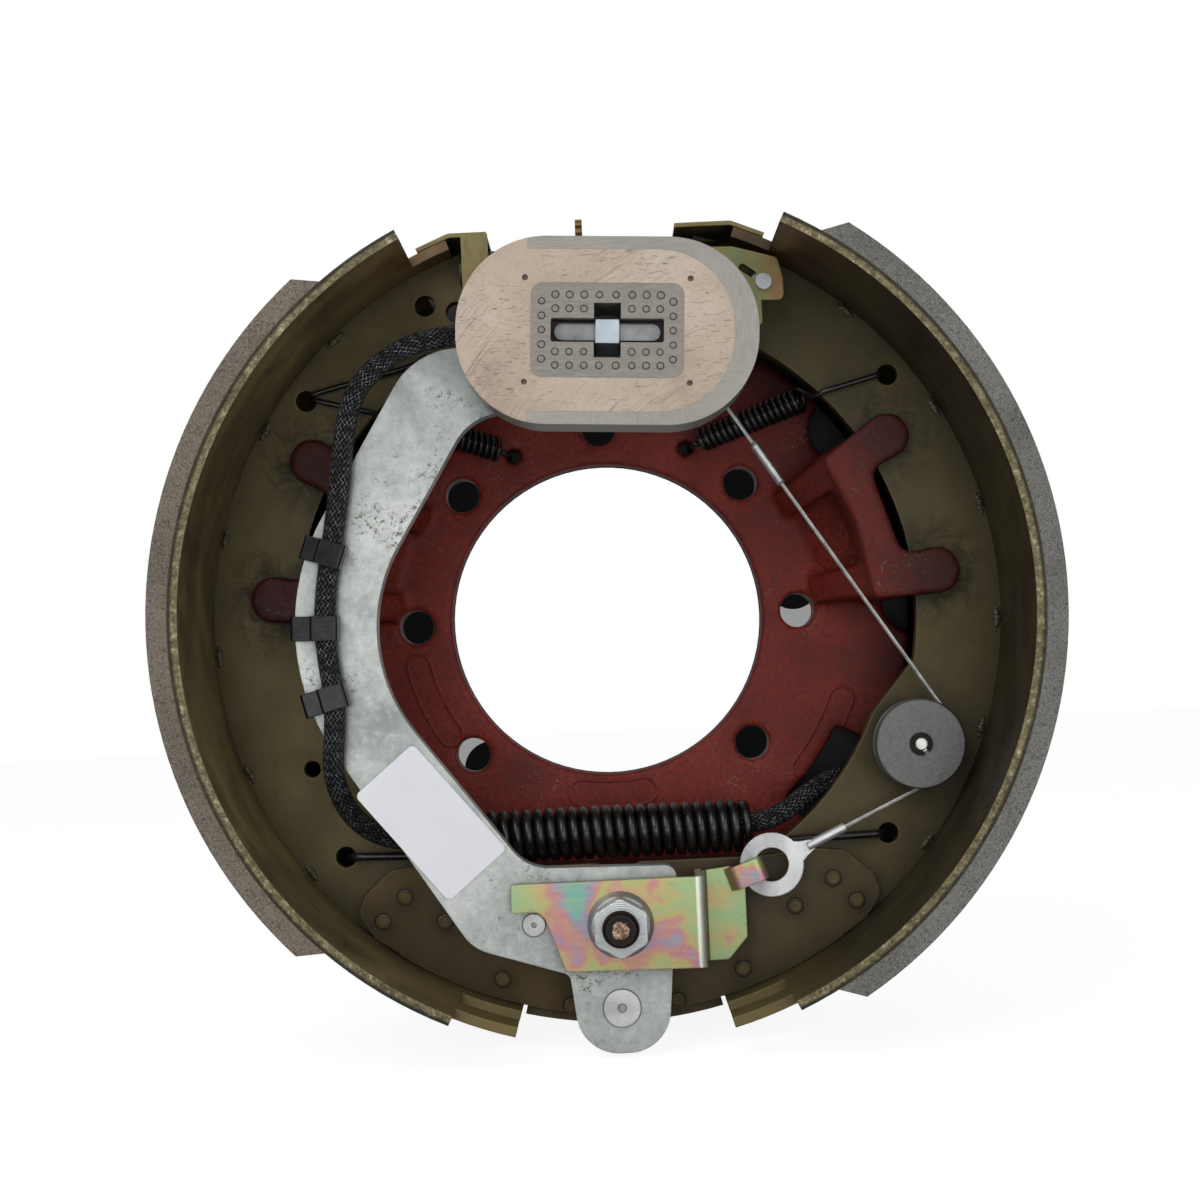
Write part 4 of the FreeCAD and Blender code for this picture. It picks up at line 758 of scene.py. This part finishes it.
def make_finishes():
    """The finish of each node; a node left out is replaced by pieces with their own."""
    strip = olive_steel("strip_steel", (118, 108, 72), (196, 184, 134), 0.5)
    left = [(-x, z) for x, z in WELD_MARKS]
    return {
        "backing_plate": red_casting(),
        "dust_shield": black_sheet(),
        "grommet": rubber_black(),
        "actuating_arm": arm_zinc(),
        "arm_rivets": bright_zinc("rivet_zinc", ARM_RIVETS[1], (204, 206, 204), (0.26, 0.4)),
        "anchor_nut": bright_zinc("nut_zinc", ANCHOR, (178, 182, 182), (0.2, 0.36)),
        "cable_eyelet": bright_zinc("eyelet_zinc", CABLE_EYE, (196, 198, 198), (0.26, 0.4)),
        "cable_sleeve": steel_wire("sleeve_steel", (196, 196, 194), 0.3),
        "magnet_post": bright_zinc("post_zinc", None, (186, 198, 206), (0.3, 0.42)),
        "magnet_clip": bright_zinc("clip_zinc", None, (150, 152, 151), (0.2, 0.4)),
        "lever_pin": bright_zinc("pin_zinc", None, (186, 190, 194), (0.24, 0.36)),
        "anchor_post": turned_steel("post_steel", ANCHOR, (158, 124, 104), 0.5,
                                    (2.9, 6.6, (34, 31, 29))),
        "pulley_pin": turned_steel("pulley_pin_steel", PULLEY, (204, 203, 200), 0.45),
        "cable_pulley": turned_steel("pulley_steel", PULLEY, (100, 101, 99), 0.5),
        "pulley_ring": steel_wire("ring_steel", (44, 43, 40), 0.6),
        "anchor_bracket": yellow_zinc("yellow_zinc", bend=BRACKET_BEND_HIGHLIGHT),
        "adjuster_lever": yellow_zinc("lever_zinc", 0.12, 0.6),
        "primary_web": olive_steel("olive_left", (92, 82, 53), dark_spots=FINGER_ENDS),
        "secondary_web": olive_steel("olive_steel", (78, 70, 44), dark_spots=FINGER_ENDS),
        "primary_doubler": olive_steel("doubler_steel", (86, 71, 43), (166, 152, 104),
                                       marks=left),
        "secondary_doubler": olive_steel("doubler_steel_right", (74, 64, 42), (150, 140, 98),
                                         marks=WELD_MARKS),
        "primary_guide": strip, "secondary_guide": strip,
        "primary_lining": lining("lining_left", (110, 102, 91)),
        "secondary_lining": lining("lining_right", (106, 105, 100)),
        "magnet_shell": ground_steel(),
        "magnet_friction": friction_face(),
        "magnet_core": pole("pole", (136, 131, 124)),
        "adjuster_sleeve": steel_wire("sleeve_dark", (92, 84, 70), 0.4),
        "adjuster_socket": steel_wire("socket_dark", (96, 88, 72), 0.4),
        "star_screw": wheel_steel(),
        "label": sticker(),
        # The left table a lighter copy and the right a darker one: painted light.
        "primary_table": table_steel("table_left", 1.7),
        "secondary_table": table_steel("table_right", 0.95),
        "loom_clips": clip_steel(),
    }


def dress_nodes():
    finishes = make_finishes()
    for name, mat in finishes.items():
        mesh = NODES[name].data
        mesh.materials.clear()
        mesh.materials.append(mat)
    return finishes


# mesh pieces


def frames(points):
    """Each point of a line, with two unit vectors across it that turn as little as they can."""
    tangent = (points[1] - points[0]).normalized()
    side = tangent.orthogonal().normalized()
    last = len(points) - 1
    for i, p in enumerate(points):
        new = (points[min(i + 1, last)] - points[max(i - 1, 0)]).normalized()
        side = tangent.rotation_difference(new) @ side
        side = (side - new * side.dot(new)).normalized()
        tangent = new
        yield p, side, new.cross(side)


def distances(points):
    """Millimetres along a line at each of its points."""
    out = [0.0]
    for a, b in zip(points, points[1:]):
        out.append(out[-1] + (b - a).length * 1000)
    return out


class Build:
    """Collects faces of one piece."""

    def __init__(self):
        self.verts = []
        self.faces = []
        self.uvs = []
        self.marks = []

    def add(self, face, mark=0, uv=None):
        self.faces.append(face)
        self.uvs.append(uv or tuple((0.0, 0.0) for _ in face))
        self.marks.append(mark)

    def strips(self, base, count, sides, mark=0, reach=None, flip=False):
        """Quads between rings of points; reach is the rings' place along, for the UVs."""
        for i in range(count - 1):
            a, b = base + i * sides, base + (i + 1) * sides
            for j in range(sides):
                k = (j + 1) % sides
                face = (a + j, b + j, b + k, a + k) if flip else (a + j, a + k, b + k, b + j)
                uv = None
                if reach:
                    u, v = (j / sides, (j + 1) / sides), reach[i:i + 2]
                    uv = ((u[0], v[0]), (u[1], v[0]), (u[1], v[1]), (u[0], v[1]))
                self.add(face, mark, uv)

    def tube(self, points, radius, sides=12, flat=1.0):
        """Tube along points, flatter in depth; the UVs are turns around and millimetres along."""
        base = len(self.verts)
        count = len(points)
        for i, (p, side, other) in enumerate(frames(points)):
            r = radius(i / (count - 1)) if callable(radius) else radius
            for x, y in ring(sides):
                off = (side * x + other * y) * (r / 1000)
                self.verts.append(p + Vector((off.x, off.y * flat, off.z)))
        self.strips(base, count, sides, reach=distances(points))
        last = len(self.verts) - sides
        self.add(tuple(reversed(range(base, base + sides))))
        self.add(tuple(range(last, last + sides)))

    def blob(self, place, turn, size):
        """Low dome: an ellipsoid with its own axes."""
        rings, sides = 4, 10
        base = len(self.verts)
        for i in range(rings):
            a = math.pi * (i + 1) / (rings + 1)
            for x, z in ring(sides):
                v = Vector((math.sin(a) * x * size[0], math.cos(a) * size[1],
                            math.sin(a) * z * size[2]))
                self.verts.append(place + turn @ (v / 1000))
        last, top = len(self.verts) - sides, len(self.verts)
        for end in (size[1], -size[1]):
            self.verts.append(place + turn @ (Vector((0, end, 0)) / 1000))
        self.strips(base, rings, sides)
        for j in range(sides):
            k = (j + 1) % sides
            self.add((top, base + k, base + j))
            self.add((top + 1, last + j, last + k))

    def lathe(self, profile, place, sides, mark):
        """Rings of (radius, depth) about the depth's axis through a place."""
        base = len(self.verts)
        for r, d in profile:
            self.verts += [place + Vector((x, d, z)) / 1000 for x, z in ring(sides, r)]
        self.strips(base, len(profile), sides, mark, flip=True)

    def finish(self, name, body, mats, node=None):
        """Makes the object; body is one body to attach it to, or two bodies with two points,
        which are not used: the object then stays unattached.
        """
        mesh = bpy.data.meshes.new(name)
        mesh.from_pydata(self.verts, [], self.faces)
        layer = mesh.uv_layers.new(name="UVMap")
        flat = [uv for face in self.uvs for uv in face]
        for item, uv in zip(layer.data, flat):
            item.uv = uv
        for mat in mats:
            mesh.materials.append(mat)
        for poly, mark in zip(mesh.polygons, self.marks):
            poly.material_index = mark
            poly.use_smooth = True
        mesh.update()
        obj = add_object(name, mesh)
        if isinstance(body, tuple):
            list(body)
            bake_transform(obj)
        else:
            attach(obj, body)
        if node:
            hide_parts(node)
        return obj


def smooth_line(points, step=1.0):
    """Catmull-Rom line through points, about a step in millimetres apart."""
    out = []
    count = len(points)
    for i in range(count - 1):
        p0 = points[i - 1] if i else points[0] * 2 - points[1]
        p1, p2 = points[i], points[i + 1]
        p3 = points[i + 2] if i + 2 < count else points[-1] * 2 - points[-2]
        pieces = max(1, round((p2 - p1).length * 1000 / step))
        for k in range(pieces):
            t = k / pieces
            a = p1 * 2
            b = (p2 - p0) * t
            c = (p0 * 2 - p1 * 5 + p2 * 4 - p3) * (t * t)
            d = (p1 * 3 - p0 - p2 * 3 + p3) * (t * t * t)
            out.append((a + b + c + d) / 2)
    out.append(points[-1])
    return out


def pieces_at(line, *places):
    """Cuts a line where it first passes each x in millimetres; both parts have the cut point."""
    out, first = [], 0
    for x in places:
        cut = next(i for i in range(first, len(line)) if line[i].x * 1000 >= x)
        out.append(line[first:cut + 1])
        first = cut
    out.append(line[first:])
    return out


def route(points):
    """Smooth points of a NURBS line through the bends of a held cord."""
    curve = bpy.data.curves.new("route", "CURVE")
    curve.dimensions = "3D"
    line = curve.splines.new("NURBS")
    line.points.add(len(points) - 1)
    for spot, p in zip(line.points, points):
        spot.co = (*at(*p), 1)
    line.order_u = 3
    line.use_endpoint_u = True
    line.resolution_u = 12
    holder = bpy.data.objects.new("route", curve)
    mesh = bpy.data.meshes.new_from_object(holder)
    out = [v.co.copy() for v in mesh.vertices]
    bpy.data.objects.remove(holder)
    bpy.data.curves.remove(curve)
    bpy.data.meshes.remove(mesh)
    return out


def coil_line(start, end, mean, turns, phase, around=20, cone=0.0):
    """Helix between two points; phase in degrees from the axis' upper side."""
    axis = (end - start).normalized()
    up = Vector((0, 0, 1))
    up = (up - axis * up.dot(axis)).normalized()
    side = axis.cross(up)
    total = int(turns * around)
    out = []
    for i in range(total + 1):
        t = i / total
        a = math.radians(phase) + TURN * turns * t
        r = (mean + cone * t) / 1000
        out.append(start.lerp(end, t) + (up * math.cos(a) + side * math.sin(a)) * r)
    return out


def make_return_spring(mat):
    """Long spring in two halves, each stretching from the middle to its shoe."""
    wire, hook = 1.87, 1.4
    mean = 9.75 - wire
    half, turns, straight = 48, 23, 45
    ends = at(-half, 63.5, -78.5), at(half, 63.5, -78.5)
    coil = coil_line(*ends, mean, turns, 133.5, 24)
    left = [at(-97, 65, -83.2), at(-97, 61.5, -83.2), at(-94.5, 58.8, -83.2),
            at(-88, 58.4, -83.3), at(-70, 58.2, -83.7), at(-56, 58.0, -84.1)]
    right = [Vector((-p.x, p.y, p.z)) for p in left[::-1]]
    halves = pieces_at(smooth_line(left + coil + right, 1.2), 0)
    share = 2 * straight / (straight * 2 + turns * 2 * math.pi * mean)
    middle = at(0, 63.5, -78.5)
    for name, body, points, sign in (("left", "primary_shoe", halves[0], -1),
                                     ("right", "secondary_shoe", halves[1], 1)):

        def gauge(t):
            t = 1 - t if sign > 0 else t
            return hook + (wire - hook) * min(1, max(0, (t - share) * 30))

        piece = Build()
        piece.tube(points, gauge, 12)
        bend = (body, "mount", at(sign * 88, 58.4, -83.3), middle)
        piece.finish("return_coil_" + name, bend, [mat], "return_spring")


def pull_spring_line(start, end, phase, turns, first, last):
    coil = coil_line(at(*start), at(*end), 3.9, turns, phase, 18)
    return smooth_line([at(*p) for p in first] + coil + [at(*p) for p in last], 0.9)


def make_spring_piece(name, line, body, node, mat):
    piece = Build()
    piece.tube(line, 1.0, 10)
    piece.finish(name, body, [mat], node)


def make_springs(mat):
    """The return spring, the two retractors and the lever's spring."""
    make_return_spring(mat)
    first = ((34.9, 105.5, 64), (34.9, 100, 64), (35.0, 92, 64.2), (36.4, 88.6, 64.8))
    last = ((79.5, 62.0, 77.4), (84, 59.5, 78.8), (95, 59.3, 81.6), (102.5, 59.4, 83.6),
            (104.3, 60.4, 83.9), (104.5, 63.6, 83.9))
    for name, shoe, sign, phase in (("right", "secondary_shoe", 1, 250),
                                    ("left", "primary_shoe", -1, 110)):
        start, end = (sign * 38.5, 87.2, 65.8), (sign * 75.6, 68.3, 77.1)
        near = [(sign * x, d, z) for x, d, z in first]
        far = [(sign * x, d, z) for x, d, z in last]
        line = pull_spring_line(start, end, phase, 17.3, near, far)
        body = ("mount", shoe, at(*start), at(sign * 95, 59.3, 81.6))
        make_spring_piece("retractor_coil_" + name, line, body, "retractor_" + name, mat)
    first = ((-105.2, 63.6, 85.7), (-105.2, 60.8, 85.7), (-103.5, 59.4, 86.0),
             (-95, 59.3, 88.2), (-80, 59.0, 91.6), (-67, 57.4, 94.6))
    last = ((-8, 54.6, 101.2), (10, 52.6, 103.6), (40, 50.2, 104.0), (54, 49.4, 104.2),
            (57.3, 47.6, 104.2), (57.5, 43.0, 104.2))
    line = pull_spring_line((-61.5, 56, 93.6), (-12.5, 54.5, 99.5), 30, 18.4, first, last)
    parts = pieces_at(line, -37, 30)
    hook, middle = at(-95, 59.3, 88.2), at(-37, 55.2, 96.6)
    near, far = at(28, 51.2, 103.9), at(52, 49.5, 104.2)
    bodies = (("shoe", ("primary_shoe", "mount", hook, middle)),
              ("rod", ("mount", "secondary_shoe", middle, near)),
              ("end", ("secondary_shoe", "lever", near, far)))
    for (name, body), part in zip(bodies, parts):
        make_spring_piece("lever_coil_" + name, part, body, "lever_spring", mat)


def make_magnet_spring(mat):
    start, end = at(4.6, 22.9, 94.3), at(4.6, 27.1, 94.3)
    piece = Build()
    piece.tube(coil_line(start, end, 15.7, 3.2, 0, 40, -4.0), 0.75, 10)
    obj = piece.finish("magnet_cone_spring", "arm", [mat], "magnet_spring")
    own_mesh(obj)


def make_looms(mat):
    """Braided sleeves, pressed oval by the two wires in them."""
    lay = 25.0
    upper = (
        (-27, 30.6, 103), (-47.8, 30.6, 100.4), (-62.5, 25.6, 97.8), (-76.5, lay, 90),
        (-84.6, lay, 80.5), (-88, lay, 69), (-89.6, lay, 57.4), (-91.2, lay, 45.3),
        (-93.4, lay, 32.6), (-96.9, lay, 13.3), (-98, lay, 0.5), (-97.2, lay, -11.5),
        (-95.6, lay, -23.3), (-95.6, lay, -34), (-96.25, lay, -40.5),
    )
    lower = (
        (-96.25, lay, -40.5), (-96.9, lay, -47), (-96.8, 29.4, -55), (-94.6, 36, -63.5),
        (-89.3, 42.5, -71.5), (-80, 48, -76.5), (-68, 54, -77.5), (-58, 60.3, -77.2),
        (-51, 62.8, -78.1), (0, 63.6, -78.6), (51, 63.7, -78.4), (62, 68, -74.6),
        (73, 74, -67.4), (86, 80, -61.6), (97, 92, -67), (107, 106, -75.8),
        (108, 117, -76.5), (108, 141, -76.5),
    )
    wide, thick = 3.7, 2.9

    def girth(t):
        return wide + (thick - wide) * min(1, max(0, (t - 0.82) * 10))

    piece = Build()
    piece.tube(route(upper), wide, 20, thick / wide)
    piece.finish("loom_braid_upper", "arm", [mat], "loom_upper")
    piece = Build()
    piece.tube(route(lower), girth, 20, thick / wide)
    body = ("arm", "mount", at(*lower[0]), at(-66, 54, -77.5))
    piece.finish("loom_braid_lower", body, [mat], "loom_lower")


def make_leads(mat):
    piece = Build()
    for shift in (-1.7, 1.7):
        points = ((-30, 30.6, 102.6 + shift * 0.7), (-26.4, 30.6, 102.8 + shift),
                  (-20, 30, 104 + shift), (-15, 27.4, 105.5 + shift), (-15.2, 22.2, 106 + shift))
        piece.tube(smooth_line([at(*p) for p in points], 0.8), 1.1, 10)
    body = ("magnet", "arm", at(-15.2, 22.2, 106), at(-27, 30.6, 102.8))
    piece.finish("lead_pair", body, [mat], "magnet_leads")


def cable_line():
    """From the lever's hole round the pulley to the eye; points 4 to 44 are the straight run."""
    groove, depth = 14.4, 50
    hub, eye, hole = Vector(PULLEY), Vector(CABLE_EYE), Vector(LEVER_HOLE)

    def touch(p, side):
        d = p - hub
        a = math.atan2(d.y, d.x) + side * math.acos(groove / d.length)
        return a, hub + Vector((math.cos(a), math.sin(a))) * groove

    a0, top = touch(hole, -1)
    a1, low = touch(eye, 1)
    while a1 > a0:
        a1 -= TURN
    out = [at(hole.x, 42.8, hole.y), at(hole.x, 46.5, hole.y)]
    out += [at(hole.x + 0.4, 49.2, hole.y - 0.8), at(hole.x + 2.0, depth, hole.y - 3.6)]
    first = hole + (top - hole).normalized() * 8
    for i in range(41):
        p = first.lerp(top, i / 40)
        out.append(at(p.x, depth, p.y))
    for i in range(1, 24):
        a = a0 + (a1 - a0) * i / 24
        p = hub + Vector((math.cos(a), math.sin(a))) * groove
        out.append(at(p.x, depth, p.y))
    end = eye + (low - eye).normalized() * 14.7
    for i in range(21):
        t = i / 20
        p = low.lerp(end, t)
        out.append(at(p.x, depth - 4 * t, p.y))
    return out


def make_cable(mat, crimp_mat):
    """Seven-strand rope, a core and six strands laid round it, with its crimped sleeve."""
    lay, strand_ring = 7.5, 0.00053
    line = cable_line()
    centre = smooth_line(line, 1.0)
    strands = [[] for _ in range(6)]
    for (p, side, other), reach in zip(frames(centre), distances(centre)):
        for k, points in enumerate(strands):
            turn = TURN * (k / 6 + reach / lay)
            points.append(p + (side * math.cos(turn) + other * math.sin(turn)) * strand_ring)
    cut = max(range(len(centre)), key=lambda i: centre[i].x)
    upper = ("lever", "secondary_shoe", at(29, 50, 100), at(108, 50, -22))
    lower = ("secondary_shoe", "mount", at(112, 50, -66), at(72, 47, -83))
    for name, body, span in (("rope_strands", upper, slice(0, cut + 1)),
                             ("rope_strands_eye", lower, slice(cut, None))):
        piece = Build()
        piece.tube(centre[span], 0.36, 6)
        for points in strands:
            piece.tube(points[span], 0.26, 8)
        piece.finish(name, body, [mat], "brake_cable")
    along = (line[44] - line[4]).normalized()
    crimp = Build()
    crimp.tube([line[4] + along * ((43.5 + 1.5 * i) / 1000) for i in range(13)], 1.48, 32)
    crimp.finish("cable_crimp", upper, [crimp_mat], "cable_sleeve")


def make_weld_beads(mat):
    """Weld runs along the joint of each web and its table."""
    right = (49.5, 30, 14.2, -2.6, -19.2, -37.8, -53.5)
    left = (48, 31.2, 14.1, -3.4, -21.1, -38.4, -55)
    for name, body, sign, places in (("right", "secondary_shoe", 1, right),
                                     ("left", "primary_shoe", -1, left)):
        piece = Build()
        for face in (60.5, 66.5):
            for middle in places:
                for k in range(7):
                    a = math.radians(middle + (k - 3) * 0.42 + random.uniform(-0.08, 0.08))
                    r = 142.2 + random.uniform(-0.35, 0.3)
                    depth = face + random.uniform(-0.3, 0.3)
                    spot = at(sign * r * math.cos(a), depth, r * math.sin(a))
                    turn = Matrix.Rotation(-(a if sign > 0 else math.pi - a), 3, "Y")
                    thin = 1 - abs(k - 3) / 6
                    piece.blob(spot, turn, (1.6 * thin, 0.9 * thin, random.uniform(0.9, 1.2)))
        piece.finish("weld_beads_" + name, body, [mat])


def make_casting(mat):
    """Cast skin of the plate: the same form with its edges and corners rounded."""
    solid = NODES["backing_plate"]
    rough = add_object("cast_rough", solid.data.copy())
    cells = rough.modifiers.new("cells", "REMESH")
    cells.mode = "VOXEL"
    cells.voxel_size = 0.0012
    cells.use_smooth_shade = True
    soft = rough.modifiers.new("soft", "SMOOTH")
    soft.factor = 0.5
    soft.iterations = 12
    graph = bpy.context.evaluated_depsgraph_get()
    mesh = bpy.data.meshes.new_from_object(rough.evaluated_get(graph))
    bpy.data.objects.remove(rough)
    mesh.materials.clear()
    mesh.materials.append(mat)
    piece = add_object("cast_plate", mesh)
    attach(piece, "mount")
    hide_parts("backing_plate")


def magnet_point(x, depth, z):
    """Point in the magnet's own directions; it is turned a little."""
    t = math.radians(3.1)
    return at(MAGNET[0] + x * math.cos(t) + z * math.sin(t), depth,
              MAGNET[1] - x * math.sin(t) + z * math.cos(t))


def make_pole_dots(face, dark):
    """Round rivet ends in two rings on the pole face."""
    spots = []
    for z in (11.9, -11.9):
        spots += [(x, z) for x in (-17.5, -12.7, -7.8, -2.7, 2.9, 8.3, 13.1, 17.9)]
    for z in (7.2, -7.3):
        spots += [(x, z) for x in (-17.5, -12.8, -7.9, 8.2, 13.0, 17.7)]
    for x in (-22.1, 22.1):
        spots += [(x, z) for z in (9.7, 4.8, 0, -4.9, -9.8)]
    piece = Build()
    for x, z in spots:
        place = magnet_point(x, 0, z)
        wide = random.uniform(1.25, 1.4)
        piece.lathe(((wide, 0.02), (wide, -0.05), (wide - 0.4, -0.03)), place, 20, 1)
        piece.lathe(((wide - 0.4, -0.03), (wide - 0.55, -0.09), (0.45, -0.12), (0.0, -0.04)),
                    place, 20, 0)
    piece.finish("pole_dots", "magnet", [face, dark])


def make_stud_thread(mat):
    """Thread on the stud where it stands out of the nut."""
    radius, pitch, steps = 6.0, 1.25, 60
    line = []
    for i in range(steps * 2):
        a = TURN * i / steps
        line.append(at(radius * math.cos(a), 11.2 + pitch * i / steps,
                       ANCHOR[1] + radius * math.sin(a)))
    piece = Build()
    piece.tube(line, 0.32, 6)
    piece.finish("stud_thread", "mount", [mat])


def main():
    make_camera()
    make_world()
    make_floor()
    make_card()
    add_light("key", (-0.7, -1.5, 1.0), (0, 0, 0), (1.3, 1.3), 14)
    add_light("fill", (0.9, -1.4, 0.25), (0, 0, 0), (1.0, 1.4), 6.5)
    add_light("low", (0.0, -1.1, -0.1), (0, 0, -0.02), (1.2, 0.25), 2.5)
    finishes = dress_nodes()
    spring = black_spring()
    make_casting(finishes["backing_plate"])
    make_springs(spring)
    make_magnet_spring(steel_wire("spring_steel", (120, 118, 112)))
    make_looms(braid())
    make_leads(rubber_black())
    make_cable(steel_wire("wire_rope", (204, 204, 200), 0.3), finishes["cable_sleeve"])
    # The beads' pale edge tone is a painted glint.
    make_weld_beads(olive_steel("weld_steel", (66, 61, 46), (150, 148, 128), 0.4))
    make_pole_dots(pole("dot_face", (132, 125, 118)), pole("dot_ring", (60, 53, 48)))
    make_stud_thread(finishes["anchor_post"])
    view = bpy.context.scene.view_settings
    view.view_transform = "Standard"


main()
